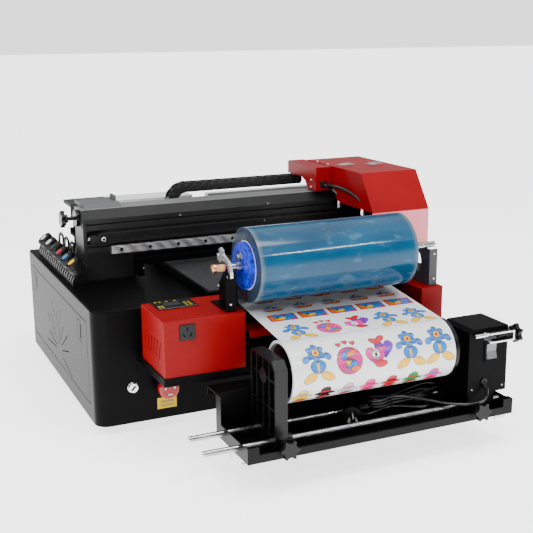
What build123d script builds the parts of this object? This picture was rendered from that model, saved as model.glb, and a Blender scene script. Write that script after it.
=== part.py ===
from build123d import *

import math
import os

# A desktop flatbed UV printer with a film laminator on its front and a motor-driven
# take-up tray hung below the laminator. Millimetres. The design frame has x = 0 at the
# cabinet's left face, y = 0 at its front face, z = 0 at its floor sheet and +Y to the rear.
# save() moves every node so that the origin is at the middle of the footprint, under the feet.

# ---- driving dimensions -------------------------------------------------------------
CABINET_W, CABINET_D, CABINET_H = 738.0, 581.0, 221.0
SHEET = 2.0
CORNER_R = 25.0
FOOT_H, FOOT_R = 18.0, 15.0
FRONT_MOST = 354.0  # how far the take-up knobs stand in front of the cabinet
ORIGIN = (CABINET_W / 2, (CABINET_D - FRONT_MOST) / 2, -FOOT_H)

DOOR_Y0, DOOR_Y1, DOOR_Z0, DOOR_Z1 = 52.0, 566.0, 33.0, 190.0
DOOR_GAP = 1.5
LATCH_W, LATCH_H, LATCH_TOP = 28.0, 42.0, 181.0
LATCH_Y = (107.0, 518.0)

WEB_X0, WEB_X1 = 245.0, 557.0
WEB_END_Y = 12.0  # the film's free end, on the bed
WEB_MID = (WEB_X0 + WEB_X1) / 2
WEB_T = 0.6

PLATEN_W, PLATEN_Y0, PLATEN_Y1 = 366.0, -18.0, 402.0
PLATEN_X0, PLATEN_X1 = WEB_MID - PLATEN_W / 2, WEB_MID + PLATEN_W / 2
PLATEN_TOP, PLATEN_PLATE = 241.8, 4.0
PLATEN_RAIL_X = (291.0, 511.0)

BEAM_X0, BEAM_X1 = 52.0, 728.0
BEAM_Y0, BEAM_Y1, BEAM_TOP = 229.5, 290.0, 365.0
END_PLATE_T = 7.0
OPENING_X0, OPENING_X1, OPENING_TOP = 150.0, 652.0, 250.0
RAIL_Z0, RAIL_Z1, RAIL_Y0, RAIL_Y1 = 277.0, 292.0, 209.5, 222.0
RAIL_X0, HOLE_PITCH, HOLE_COUNT = 97.5, 60.0, 10
PULLEY_X, PULLEY_Z, PULLEY_R = 80.0, 310.0, 8.0
DRIVE_X = 700.0
BELT_Y0, BELT_Y1, BELT_T = 212.0, 222.0, 1.5

CARRIAGE_X0, CARRIAGE_X1 = 600.0, 734.0
CARRIAGE_TOP, CARRIAGE_FRONT, CARRIAGE_REAR = 420.0, 44.0, 345.0
ARM_X0 = 560.0
CHAIN_Y0, CHAIN_Y1, CHAIN_H, CHAIN_R = 342.0, 368.0, 17.0, 36.0
CHAIN_Z, CHAIN_LOOP_X = 377.5, 307.0
SHELF_X0, SHELF_X1, SHELF_Y1, SHELF_TOP = 372.0, 700.0, 410.0, 352.0
CHAIN_LINKS = 14
CHAIN_PITCH = (ARM_X0 + 20 - CHAIN_LOOP_X) / CHAIN_LINKS

BOTTLE_PITCH, BOTTLE_COUNT, BOTTLE_Y0 = 52.5, 6, 207.0
BOTTLE_LEAN, BOTTLE_R = 37.0, 16.5
BOTTLE_X, BOTTLE_Z = 17.0, 265.5  # the middle of a bottle's cap

BOX_Y0, BOX_Y1, BOX_Z0, BOX_Z1 = -158.5, -30.6, 136.3, 236.5
LEFT_BOX_X0, LEFT_BOX_X1 = 81.0, 231.0
RIGHT_BOX_X0, RIGHT_BOX_X1 = 589.0, 637.0
BASE_Y0, BASE_X0, BASE_X1 = -160.5, 79.0, 640.0
BASE_LIP_Z, BASE_APRON_X = 122.0, 240.0
NIP_Y, NIP_LOWER_R, NIP_UPPER_R = -72.0, 17.0, 15.0
NIP_GAP = 0.4  # from the film to each nip roller
LOWER_JOURNAL_R, UPPER_JOURNAL_R = 6.0, 5.0
SIDE_PLATE_X, SIDE_PLATE_T = (236.0, 573.0), 3.0

ROLL_Y, ROLL_Z, ROLL_R = -136.4, 313.6, 66.2
ROLL_X0, ROLL_X1 = 242.0, 552.0
CORE_R_IN, CORE_R_OUT = 38.0, 43.5
SPINDLE_R = 6.0
STAND_TOP, STAND_LEFT_X, STAND_RIGHT_X = 307.0, 216.0, 612.0

TAKEUP_Y, TAKEUP_Z, TAKEUP_R, TAKEUP_CORE_R = -268.0, 160.0, 53.0, 47.5
JOURNAL_R, RUNNING_FIT = 8.0, 0.05
TRAY_X0, TRAY_X1, TRAY_Y0, TRAY_Y1 = 156.0, 671.0, -337.0, -200.0
TRAY_Z, TRAY_LIP_Z, TRAY_TAB_Z, TRAY_REAR_Z = 39.0, 53.0, 67.0, 114.0
ROD_R, ROD_Z, ROD_Y = 5.0, 55.0, (-300.0, -235.0)
SUPPORT_KNOB_X, MOTOR_KNOB_X, FRONT_KNOB_Z = 224.0, 597.0, 58.0
SUPPORT_X0, SUPPORT_X1, SUPPORT_Y0, SUPPORT_Y1 = 213.6, 236.0, -317.0, -218.0
SUPPORT_Z0, SUPPORT_Z1 = 44.0, 194.0
MOTOR_X0, MOTOR_X1, MOTOR_Y0, MOTOR_Y1 = 587.0, 669.0, -317.0, -237.0
MOTOR_Z0, MOTOR_Z1 = 78.0, 199.0
KNOB_R, KNOB_T, KNOB_SHAFT_R = 17.0, 14.0, 3.0
CORD_R = 2.5


# ---- helpers ------------------------------------------------------------------------
def save(name, *solids):
    """Write one node, moved from the design frame to the model's own frame."""
    place = Pos(-ORIGIN[0], -ORIGIN[1], -ORIGIN[2])
    export_step(Compound(children=[place * s for s in solids]), f"parts/{name}.step")


def block(x0, x1, y0, y1, z0, z1):
    """A box between two corners."""
    return Pos((x0 + x1) / 2, (y0 + y1) / 2, (z0 + z1) / 2) * Box(x1 - x0, y1 - y0, z1 - z0)


def welded(*plates):
    """Plates that meet without sharing any volume: each loses what the ones before it fill."""
    kept = []
    for plate in plates:
        for earlier in kept:
            plate = plate - earlier
        kept.append(plate)
    return kept


def rod_x(y, z, r, x0, x1):
    """A cylinder along X."""
    return Pos((x0 + x1) / 2, y, z) * Rot(0, 90, 0) * Cylinder(r, x1 - x0)


def rod_y(x, z, r, y0, y1):
    """A cylinder along Y."""
    return Pos(x, (y0 + y1) / 2, z) * Rot(90, 0, 0) * Cylinder(r, y1 - y0)


def rod_z(x, y, r, z0, z1):
    """A cylinder along Z."""
    return Pos(x, y, (z0 + z1) / 2) * Cylinder(r, z1 - z0)


def plate_yz(points, x0, x1, radius=0.0):
    """A plate with a (y, z) outline, between two x values, its corners rounded if asked."""
    face = Plane.YZ.offset(x0) * make_face(Polyline(*points, close=True))
    if radius:
        face = fillet(face.vertices(), radius)
    return extrude(face, amount=x1 - x0, dir=(1, 0, 0))


def upright_edges(solid, y_limit, front):
    """The vertical edges of a solid on one side of a y value."""
    edges = solid.edges().filter_by(Axis.Z)
    if front:
        return edges.filter_by(lambda e: e.center().Y < y_limit)
    return edges.filter_by(lambda e: e.center().Y > y_limit)


def lobed_disc(radius, thickness, lobes=6):
    """A star knob's head, centred on Z, with a hollow between each two lobes."""
    head = Cylinder(radius, thickness)
    scallop = radius * 0.42
    for k in range(lobes):
        angle = 2 * math.pi * (k + 0.5) / lobes
        reach = radius * 1.12
        head -= Pos(reach * math.cos(angle), reach * math.sin(angle), 0) * Cylinder(scallop, thickness * 2)
    return head


def star_knob(at, turn, shaft_r, shaft_length):
    """A lobed hand knob whose shaft points along local -Z before the turn."""
    head = lobed_disc(KNOB_R, KNOB_T * 0.6)
    neck = Pos(0, 0, -KNOB_T * 0.5) * Cylinder(KNOB_R * 0.5, KNOB_T * 0.4)
    shaft = Pos(0, 0, -KNOB_T * 0.7 - shaft_length / 2) * Cylinder(shaft_r, shaft_length)
    return Pos(*at) * turn * (head + neck + shaft)


# ---- cabinet ------------------------------------------------------------------------
LOCK_X, LOCK_Z, LOCK_R = 69.0, 70.0, 7.5
ESTOP_X, ESTOP_Z, ESTOP_R = 130.0, 67.0, 20.0
ESTOP_STEM_R, ESTOP_TRAVEL = 8.0, 5.0


def cabinet_shell():
    """The folded cabinet: four walls, floor and deck, with a service opening on the left."""
    outer = block(0, CABINET_W, 0, CABINET_D, 0, CABINET_H)
    outer = fillet(upright_edges(outer, CABINET_D / 2, True), CORNER_R)
    outer = fillet(upright_edges(outer, CABINET_D / 2, False), 6)
    outer = fillet(outer.faces().sort_by(Axis.Z)[-1].edges(), 3)
    inner = block(SHEET, CABINET_W - SHEET, SHEET, CABINET_D - SHEET, SHEET, CABINET_H - SHEET)
    inner = fillet(upright_edges(inner, CABINET_D / 2, True), CORNER_R - SHEET)
    shell = outer - inner
    door_y = (DOOR_Y0 - DOOR_GAP, DOOR_Y1 + DOOR_GAP)
    shell -= block(-5, SHEET + 3, *door_y, DOOR_Z0 - DOOR_GAP, DOOR_Z1 + DOOR_GAP)
    shell -= rod_y(LOCK_X, LOCK_Z, LOCK_R + RUNNING_FIT, -5, SHEET + 5)
    shell -= rod_y(ESTOP_X, ESTOP_Z, 11.0, -5, SHEET + 5)
    for k in range(9):
        x = 520 + 18 * k
        shell -= block(x, x + 6, CABINET_D - SHEET - 2, CABINET_D + 2, 70, 150)
    return shell


def cabinet_feet():
    """Four moulded feet, each a tapered disc on a stem."""
    feet = []
    for x in (35.0, CABINET_W - 35.0):
        for y in (72.0, 490.0):
            foot = Pos(x, y, -FOOT_H / 2) * Cone(FOOT_R, FOOT_R - 3, FOOT_H)
            feet.append(foot)
    return feet


SUN_Y, SUN_Z = 302.0, 62.0
# each slot's angle from the front, and the radii at which it starts and ends
SUN_RAYS = (
    (-13, 34, 109), (14, 32, 93), (33, 32, 101), (54, 31, 81), (74, 11, 98), (99, 32, 82),
    (117, 72, 106), (137, 16, 92), (152, 88, 114), (153, 46, 74), (170, 26, 97), (184, 28, 119),
)
SLOT_W = 2.2


def side_door():
    """The service door, pierced with a fan of slots, with two hooks behind its lower edge."""
    door = block(0, SHEET, DOOR_Y0, DOOR_Y1, DOOR_Z0, DOOR_Z1)
    for angle, start, end in SUN_RAYS:
        middle = (start + end) / 2
        turn = math.radians(angle)
        y = SUN_Y - middle * math.cos(turn)
        z = SUN_Z + middle * math.sin(turn)
        slot = Rot(180 - angle, 0, 0) * Box(3 * SHEET, end - start, SLOT_W)
        door -= Pos(SHEET / 2, y, z) * slot
    for y in LATCH_Y:
        door -= block(-1, SHEET + 1, y - LATCH_W / 2, y + LATCH_W / 2, LATCH_TOP - LATCH_H, LATCH_TOP)
    for y in (DOOR_Y0 + 60, DOOR_Y1 - 60):
        door += block(SHEET, SHEET + 2.5, y - 15, y + 15, DOOR_Z0, DOOR_Z0 + 14)
        door += block(SHEET + 0.5, SHEET + 2.5, y - 15, y + 15, DOOR_Z0 - 9, DOOR_Z0)
    return door


def door_latch(y):
    """A paddle latch that fills its recess in the door with 1 mm to spare, with a finger dish."""
    gap = 1.0
    y0, y1 = y - LATCH_W / 2 + gap, y + LATCH_W / 2 - gap
    z0, z1 = LATCH_TOP - LATCH_H + gap, LATCH_TOP - gap
    paddle = block(0, SHEET, y0, y1, z0, z1)
    paddle += block(SHEET, SHEET + 4, y - 3, y + 3, z1 - 12, z1 - 2)
    paddle -= block(-1, 1.0, y0 + 3, y0 + 8, z0 + 6, z1 - 6)
    return paddle


def key_lock_barrel():
    """The cabinet's lock barrel, with a keyway in its bright head."""
    barrel = rod_y(LOCK_X, LOCK_Z, LOCK_R, -0.4, 14)
    barrel += chamfer(rod_y(LOCK_X, LOCK_Z, 9.5, -6, -0.4).edges().group_by(Axis.Y)[0], 1.2)
    barrel -= block(LOCK_X - 1, LOCK_X + 1, -8, 2, LOCK_Z - 4, LOCK_Z + 4)
    return barrel


def estop_base():
    """The emergency stop's collar and its threaded body behind the front sheet."""
    base = rod_y(ESTOP_X, ESTOP_Z, 16, -9, 0) + rod_y(ESTOP_X, ESTOP_Z, 10.9, 0, 30)
    base -= rod_y(ESTOP_X, ESTOP_Z, ESTOP_STEM_R + RUNNING_FIT, -12, 26)
    return base


def estop_button():
    """The mushroom button and its stem."""
    head = rod_y(ESTOP_X, ESTOP_Z, ESTOP_R, -34, -18)
    head = fillet(head.edges().group_by(Axis.Y)[0], 7)
    head = fillet(head.edges().group_by(Axis.Y)[-1], 2)
    return head + rod_y(ESTOP_X, ESTOP_Z, ESTOP_STEM_R, -18, 16)


def electronics():
    """The power supply case and the main board on its standoffs."""
    supply = block(300, 515, 330, 445, SHEET, 52)
    for k in range(8):
        supply -= block(320 + 24 * k, 332 + 24 * k, 350, 425, 48, 54)
    board = block(300, 520, 120, 290, 12, 14)
    for x in (310, 510):
        for y in (130, 280):
            board += rod_z(x, y, 3, SHEET, 12)
    for k in range(4):
        board += block(320 + 48 * k, 350 + 48 * k, 150, 180, 14, 24)
    return [supply, board]


# ---- flatbed ------------------------------------------------------------------------
PLATEN_RAIL_W, PLATEN_RAIL_H = 15.0, 10.0


def platen_rails():
    """Two linear rails on the deck, along the bed's travel."""
    return [block(x - PLATEN_RAIL_W / 2, x + PLATEN_RAIL_W / 2, 8, 572, CABINET_H, CABINET_H + PLATEN_RAIL_H)
            for x in PLATEN_RAIL_X]


def platen_top():
    """The suction bed, with a field of fine holes."""
    plate = block(PLATEN_X0, PLATEN_X1, PLATEN_Y0, PLATEN_Y1, PLATEN_TOP - PLATEN_PLATE, PLATEN_TOP)
    holes = [loc * Cylinder(1.2, 20) for loc in GridLocations(40, 40, 8, 10)]
    middle = Pos(WEB_MID, (PLATEN_Y0 + PLATEN_Y1) / 2, PLATEN_TOP)
    return plate - [middle * h for h in holes]


def platen_frame():
    """The bed's black side walls and four blocks that run on the rails."""
    z0, z1 = CABINET_H + 3, PLATEN_TOP - PLATEN_PLATE
    frame = block(PLATEN_X0, PLATEN_X1, PLATEN_Y0, PLATEN_Y1, z0, z1)
    frame -= block(PLATEN_X0 + 3, PLATEN_X1 - 3, PLATEN_Y0 + 3, PLATEN_Y1 - 3, z0 - 1, z1 + 1)
    for y in (50.0, 310.0):
        frame += block(PLATEN_X0 + 1, PLATEN_X1 - 1, y, y + 50, z0, z1)
    for x in PLATEN_RAIL_X:
        half = PLATEN_RAIL_W / 2 + 0.3
        frame -= block(x - half, x + half, PLATEN_Y0 - 1, PLATEN_Y1 + 1, z0 - 1, CABINET_H + PLATEN_RAIL_H + 0.3)
    return frame


# ---- gantry beam --------------------------------------------------------------------
def beam():
    """The hollow gantry extrusion: a bevelled, grooved front over the opening for the bed."""
    outline = ((BEAM_Y0, CABINET_H), (BEAM_Y0, 279), (RAIL_Y1, 279), (RAIL_Y1, 290), (BEAM_Y0, 290),
               (BEAM_Y0, 297), (BEAM_Y0 + 8, 299), (BEAM_Y0 + 8, 321), (BEAM_Y0, 323), (BEAM_Y0, 333),
               (BEAM_Y0 + 3, 335), (BEAM_Y0, 337), (BEAM_Y0, 346), (BEAM_Y0 + 11, BEAM_TOP),
               (BEAM_Y1, BEAM_TOP), (BEAM_Y1, CABINET_H))
    body = plate_yz(outline, BEAM_X0, BEAM_X1)
    body -= block(BEAM_X0 - 1, BEAM_X1 + 1, BEAM_Y0 + 16, BEAM_Y1 - 4, OPENING_TOP + 5, BEAM_TOP - 5)
    body -= block(OPENING_X0, OPENING_X1, BEAM_Y0 - 20, BEAM_Y1 + 1, CABINET_H - 1, OPENING_TOP)
    return body


KNOB_SHAFT_Y, KNOB_SHAFT_Z = 262.0, 346.0


def beam_end_plates():
    """The two plates that close the beam and stand on the deck; the left one is drilled."""
    outline = ((BEAM_Y0 - 3, CABINET_H), (BEAM_Y0 - 3, 346), (BEAM_Y0 + 8, BEAM_TOP),
               (BEAM_Y1 + 2, BEAM_TOP), (BEAM_Y1 + 2, CABINET_H))
    left = plate_yz(outline, BEAM_X0 - END_PLATE_T, BEAM_X0)
    left -= rod_x(KNOB_SHAFT_Y, KNOB_SHAFT_Z, 4 + RUNNING_FIT, 0, BEAM_X0 + 5)
    right = plate_yz(outline, BEAM_X1, BEAM_X1 + END_PLATE_T)
    return [left, right]


def x_rail():
    """The carriage rail, drilled and counterbored at its standard pitch."""
    length = (HOLE_COUNT - 1) * HOLE_PITCH + 40
    rail = block(RAIL_X0, RAIL_X0 + length, RAIL_Y0, RAIL_Y1, RAIL_Z0, RAIL_Z1)
    middle = (RAIL_Z0 + RAIL_Z1) / 2
    for z in (RAIL_Z0, RAIL_Z1):
        rail -= rod_x(RAIL_Y0 + 5.5, z, 1.6, RAIL_X0 - 1, RAIL_X0 + length + 1)
    for k in range(HOLE_COUNT):
        x = RAIL_X0 + 20 + k * HOLE_PITCH
        rail -= rod_y(x, middle, 3.75, RAIL_Y0 - 1, RAIL_Y0 + 5)
        rail -= rod_y(x, middle, 2.25, RAIL_Y0, RAIL_Y1 + 1)
    return rail


def x_belt():
    """The closed timing belt round the two pulleys."""
    def stadium(radius):
        middle = (PULLEY_X + DRIVE_X) / 2
        slot = SlotCenterToCenter(DRIVE_X - PULLEY_X, 2 * radius)
        plane = Plane((middle, BELT_Y1, PULLEY_Z), x_dir=(1, 0, 0), z_dir=(0, -1, 0))
        return extrude(plane * slot, amount=BELT_Y1 - BELT_Y0)
    return stadium(PULLEY_R + 0.2 + BELT_T) - stadium(PULLEY_R + 0.2)


def pulley(x, bore):
    """A flanged belt pulley on a Y axis."""
    wheel = rod_y(x, PULLEY_Z, PULLEY_R, BELT_Y0 - 0.5, BELT_Y1 + 0.5)
    wheel += rod_y(x, PULLEY_Z, PULLEY_R + 3.5, BELT_Y0 - 2, BELT_Y0 - 0.5)
    wheel += rod_y(x, PULLEY_Z, PULLEY_R + 3.5, BELT_Y1 + 0.5, BELT_Y1 + 2)
    return wheel - rod_y(x, PULLEY_Z, bore, BELT_Y0 - 9, BELT_Y1 + 9)


def belt_tensioner():
    """The fork that holds the idler pulley's pin, with its guide screw."""
    fork = block(BEAM_X0 + 4, 66, BELT_Y0 - 5, BEAM_Y0, PULLEY_Z - 8, PULLEY_Z + 8)
    for y in (BELT_Y0 - 5.5, BELT_Y1 + 2.5):
        fork += block(60, PULLEY_X + 5, y, y + 3, PULLEY_Z - 6, PULLEY_Z + 6)
    fork += rod_y(PULLEY_X, PULLEY_Z, 2.5, BELT_Y0 - 9, BELT_Y1 + 5)
    fork += rod_y(PULLEY_X, PULLEY_Z, 5.0, BELT_Y0 - 10, BELT_Y0 - 5.5)
    return fork


def x_drive():
    """The carriage motor behind the beam and the box round the belt's driven end."""
    housing = block(DRIVE_X - 13, DRIVE_X + 15, BELT_Y0 - 5, BEAM_Y0, PULLEY_Z - 17, PULLEY_Z + 17)
    housing -= block(DRIVE_X - 14, DRIVE_X + 12.5, BELT_Y0 - 3, BELT_Y1 + 4, PULLEY_Z - 13, PULLEY_Z + 13)
    housing += rod_y(DRIVE_X, PULLEY_Z, 2.5, BELT_Y0 - 4, BELT_Y1 + 5)
    return housing


def tension_knob():
    """The hand knob that draws the belt tight, with its thrust flange."""
    face_x = BEAM_X0 - END_PLATE_T
    knob = star_knob((face_x - 32, KNOB_SHAFT_Y, KNOB_SHAFT_Z), Rot(0, -90, 0), 4.0, 28.0)
    return knob + rod_x(KNOB_SHAFT_Y, KNOB_SHAFT_Z, KNOB_R, face_x - 7.4, face_x - 0.4)


def crossbar():
    """The guard rail under the beam, on two end brackets."""
    bar = block(OPENING_X0, OPENING_X1, BEAM_Y0 - 29.5, BEAM_Y0 - 26.5, 252, 266)
    bar += block(OPENING_X0, OPENING_X1, BEAM_Y0 - 26.5, BEAM_Y0, 263, 266)
    for x in (OPENING_X0 - 2, OPENING_X1 - 10):
        bar += block(x, x + 12, BEAM_Y0 - 29.5, BEAM_Y0, 227, 266)
    return bar


def rear_shelves():
    """What stands behind the beam: the chain's ledge, a shelf, a cable cover and a rear panel."""
    low = SHELF_TOP - 36
    shelf = [block(SHELF_X0, SHELF_X1, BEAM_Y1, SHELF_Y1, SHELF_TOP - 2, SHELF_TOP)]
    shelf.append(block(SHELF_X0, SHELF_X1, BEAM_Y1, BEAM_Y1 + 2, low, SHELF_TOP))
    shelf.append(block(SHELF_X0, SHELF_X1, SHELF_Y1 - 2, SHELF_Y1, low, SHELF_TOP))
    shelf.append(block(SHELF_X0, SHELF_X0 + 2, BEAM_Y1, SHELF_Y1, low, SHELF_TOP))
    shelf.append(block(SHELF_X1 - 2, SHELF_X1, BEAM_Y1, SHELF_Y1, low, SHELF_TOP))
    ledge = [block(BEAM_X0, 640, BEAM_Y1, 374, 292, 296.5)]
    ledge.append(block(BEAM_X0, 640, 371, 374, 296.5, 306))
    top = BEAM_TOP + 6
    cover = plate_yz(((BEAM_Y0 + 22, BEAM_TOP), (BEAM_Y0 + 30, top), (335, top), (335, BEAM_TOP)), 56, 132)
    cover += block(127, 132, BEAM_Y0 + 60, BEAM_Y0 + 90, top, top + 10)
    cover -= rod_x(BEAM_Y0 + 75, top + 5, 2.5, 126, 133)
    panel = [block(60, 336, 392, 460, 345, 352)]
    panel.append(block(60, 336, 392, 395, 318, 345))
    for x in (64, 190):
        panel.append(block(x, x + 16, 392, 395, CABINET_H, 318))
    return welded(*shelf, *ledge, cover, *panel)


# ---- ink supply ---------------------------------------------------------------------
CAP_H, BOTTLE_BODY = 12.0, 16.0
RACK_X0, RACK_X1 = 12.0, 43.0
RACK_TOOTH, RACK_PITCH = 9.0, 18.0


def leaning(y, shape):
    """Place a shape built on Z about a bottle's cap, leaning out over the left side."""
    return Pos(BOTTLE_X, y, BOTTLE_Z) * Rot(0, -BOTTLE_LEAN, 0) * shape


def bottle_ys():
    """Where the six bottles stand along the deck."""
    return [BOTTLE_Y0 + BOTTLE_PITCH * k for k in range(BOTTLE_COUNT)]


def ink_rack():
    """The wedge under the bottles, pocketed for each, with a toothed outer edge."""
    y0, y1 = BOTTLE_Y0 - 12, bottle_ys()[-1] + 55
    outline = ((RACK_X0, CABINET_H), (RACK_X0, 234), (15, 240), (RACK_X1, 261), (RACK_X1, CABINET_H))
    plane = Plane((0, y0, 0), x_dir=(1, 0, 0), z_dir=(0, -1, 0))
    rack = extrude(plane * make_face(Polyline(*outline, close=True)), amount=y1 - y0, dir=(0, 1, 0))
    for k in range(int((y1 - y0) / RACK_PITCH)):
        y = y0 + 6 + RACK_PITCH * k
        rack -= block(RACK_X0 - 1, 16, y, y + RACK_TOOTH, 229, 242)
    for y in bottle_ys():
        rack -= leaning(y, Pos(0, 0, 50 - CAP_H / 2 - BOTTLE_BODY) * Cylinder(BOTTLE_R - 0.5, 100))
    return rack


def ink_bottles():
    """Six leaning ink bottles, each a body and a round-edged screw cap."""
    pieces = []
    for y in bottle_ys():
        body = Pos(0, 0, -(CAP_H + BOTTLE_BODY) / 2) * Cylinder(BOTTLE_R - 1, BOTTLE_BODY)
        cap = Cylinder(BOTTLE_R, CAP_H)
        cap = fillet(cap.edges().group_by(Axis.Z)[-1], 2)
        pieces.append(leaning(y, body + cap))
    return pieces


HOSE_R = 2.5


def ink_hoses():
    """A feed hose from the rack beside each rear bottle, arched over and down through the deck."""
    hoses = []
    for y in bottle_ys()[2:]:
        stations = ((RACK_X1 + HOSE_R + 1, y - 8, CABINET_H), (RACK_X1 + HOSE_R + 1, y - 8, 264),
                    (RACK_X1 + 9, y + 4, 281), (RACK_X1 + 17, y + 14, 264), (RACK_X1 + 17, y + 14, CABINET_H))
        path = FilletPolyline(*stations, radius=9)
        start = Plane(origin=path @ 0, z_dir=path % 0)
        hoses.append(sweep(start * Circle(HOSE_R), path=path))
    return hoses


# ---- carriage -----------------------------------------------------------------------
def carriage_cover():
    """The red folded cover: a sloping front, open below and behind, with a chain arm on its left."""
    def hood(grow):
        points = ((CARRIAGE_FRONT + grow, 271 - (5 if grow else 0)), (CARRIAGE_FRONT + grow, 345),
                  (97 + grow * 0.7, CARRIAGE_TOP - grow), (CARRIAGE_REAR - grow, CARRIAGE_TOP - grow),
                  (CARRIAGE_REAR - grow, 366 - (5 if grow else 0)), (214, 366 - (5 if grow else 0)),
                  (196, 345 - (5 if grow else 0)), (196, 271 - (5 if grow else 0)))
        return plate_yz(points, CARRIAGE_X0 + grow, CARRIAGE_X1 - grow)
    cover = hood(0) - hood(SHEET)
    side_window = ((CARRIAGE_FRONT + SHEET, 260), (CARRIAGE_FRONT + SHEET, 345), (186, 345), (204, 352),
                   (214, 366),
                   (230, 366), (230, 260))
    cover -= plate_yz(side_window, CARRIAGE_X0 - 1, CARRIAGE_X0 + SHEET + 1)
    cover -= block(CARRIAGE_X0 + SHEET, CARRIAGE_X1 - SHEET, 150, 240, 260, 367)
    arm = ((221, 368), (221, 419), (363, 419), (363, 391), (292, 391), (274, 384), (262, 368))
    bracket = plate_yz(arm, ARM_X0, ARM_X0 + SHEET)
    bracket += block(ARM_X0, CARRIAGE_X0, 221, 363, 417, 419)
    bracket += block(ARM_X0, CARRIAGE_X0, 221, 223, 368, 419)
    bracket -= block(568, 586, 220, 224, 376, 388)
    return cover + bracket


def carriage_plate():
    """The carriage frame: a saddle on the rail, an upright plate and the head shelf."""
    x0, x1 = CARRIAGE_X0 + 8, CARRIAGE_X1 - 8
    bridge_z = BEAM_TOP + 4
    frame = block(x0, x1, 186, 194, 268, bridge_z + 4)
    frame += block(x0, x1, 56, 186, 268, 272)
    frame += block(x0, x0 + 4, 120, 186, 272, 300)
    frame += block(x1 - 4, x1, 120, 186, 272, 300)
    saddle = block(626, 682, 194, 219, 269, 300)
    saddle -= block(620, 690, RAIL_Y0 - 0.3, 230, RAIL_Z0 - 0.3, RAIL_Z1 + 0.3)
    frame += saddle
    frame += block(640, 676, 194, BELT_Y0 - 0.3, 314, 326)
    frame -= block(636, 692, 84, 150, 260, 280)
    frame -= block(700, 723, 84, 150, 260, 280)
    frame += block(630, 700, 194, 300, bridge_z, bridge_z + 4)
    frame += block(630, 700, 296, 300, bridge_z + 4, CARRIAGE_TOP - SHEET)
    return frame


def print_head():
    """The print head and the curing lamp, hung through the carriage shelf."""
    head = block(637, 691, 85, 149, 250, 300) + block(633, 695, 81, 153, 272.3, 290)
    head += block(644, 684, 92, 142, 246, 250)
    lamp = block(701, 722, 85, 149, 249, 300)
    for k in range(6):
        lamp -= block(699, 724, 90 + 10 * k, 95 + 10 * k, 294, 302)
    return [head, lamp]


# ---- cable chain --------------------------------------------------------------------
def chain_profile(length):
    """A straight stretch of chain: links with a waist between each two."""
    count = max(1, round(length / CHAIN_PITCH))
    pitch = length / count
    run = block(0, length, CHAIN_Y0, CHAIN_Y1, -CHAIN_H / 2, CHAIN_H / 2)
    for k in range(1, count):
        for y in (CHAIN_Y0 - 1, CHAIN_Y1 - 1):
            run -= block(k * pitch - 1, k * pitch + 1, y, y + 2, -CHAIN_H, CHAIN_H)
    return run


def chain_upper():
    """The chain's upper run, from the loop to the carriage arm."""
    length = CHAIN_PITCH * CHAIN_LINKS
    return Pos(CHAIN_LOOP_X, 0, CHAIN_Z) * chain_profile(length)


def chain_loop():
    """The chain's half-turn and its lower run."""
    centre_z = CHAIN_Z - CHAIN_R
    plane = Plane((CHAIN_LOOP_X, CHAIN_Y1, centre_z), x_dir=(1, 0, 0), z_dir=(0, -1, 0))
    ring = Circle(CHAIN_R + CHAIN_H / 2) - Circle(CHAIN_R - CHAIN_H / 2)
    ring -= Pos(100, 0) * Rectangle(200, 200)
    bend = extrude(plane * ring, amount=CHAIN_Y1 - CHAIN_Y0)
    lower = Pos(CHAIN_LOOP_X, 0, CHAIN_Z - 2 * CHAIN_R) * chain_profile(252)
    return bend + lower


# ---- laminator ----------------------------------------------------------------------
SOCKET_X0, SOCKET_X1, SOCKET_Z0, SOCKET_Z1 = 109.0, 137.0, 201.0, 228.0


def sheet_box(x0, x1):
    """A red sheet cover, open below, with softened edges."""
    cover = fillet(block(x0, x1, BOX_Y0, BOX_Y1, BOX_Z0, BOX_Z1).edges().filter_by(Axis.Z), 2)
    cover = fillet(cover.faces().sort_by(Axis.Z)[-1].edges(), 1.8)
    return cover - block(x0 + SHEET, x1 - SHEET, BOX_Y0 + SHEET, BOX_Y1 - SHEET, BOX_Z0 - 1, BOX_Z1 - SHEET)


def laminator_box_left():
    """The control cover, louvred on its left and cut for the outlet, and the panel under the film."""
    cover = sheet_box(LEFT_BOX_X0, LEFT_BOX_X1)
    cover -= block(SOCKET_X0, SOCKET_X1, BOX_Y0 - 1, BOX_Y0 + SHEET + 1, SOCKET_Z0, SOCKET_Z1)
    for k in range(6):
        y = -134 + 16 * k
        cover -= Pos(LEFT_BOX_X0, y, 180) * Rot(18, 0, 0) * Box(3 * SHEET, 3.4, 34)
    x0, x1 = SIDE_PLATE_X[0] + SIDE_PLATE_T, SIDE_PLATE_X[1]
    bridge = block(x0, x1, BOX_Y0 + 0.5, -110, 197, 200)
    bridge += block(x0, x1, BOX_Y0 + 0.5, BOX_Y0 + 3.5, 188, 197)
    return [cover, bridge]


def laminator_base():
    """The folded tray that carries the laminator, slotted along its front lip."""
    tray = block(BASE_X0, BASE_X1, BASE_Y0, 0, BOX_Z0 - 4, BOX_Z0)
    tray += block(BASE_X0, BASE_X1, BASE_Y0, BASE_Y0 + 2, BASE_LIP_Z, BOX_Z0)
    tray += block(BASE_APRON_X, BASE_X1, BASE_Y0, BASE_Y0 + 2, 98, BASE_LIP_Z)
    tray += block(BASE_X0, BASE_X1, -2, 0, 98, BOX_Z0)
    for x in (BASE_X0, BASE_X1 - 2):
        tray += block(x, x + 2, BASE_Y0, 0, BASE_LIP_Z, BOX_Z0)
    for k in range(4):
        x = BASE_APRON_X + 14 + 90 * k
        tray -= block(x, x + 76, BASE_Y0 - 1, BASE_Y0 + 3, 108, 113)
    return tray


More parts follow.
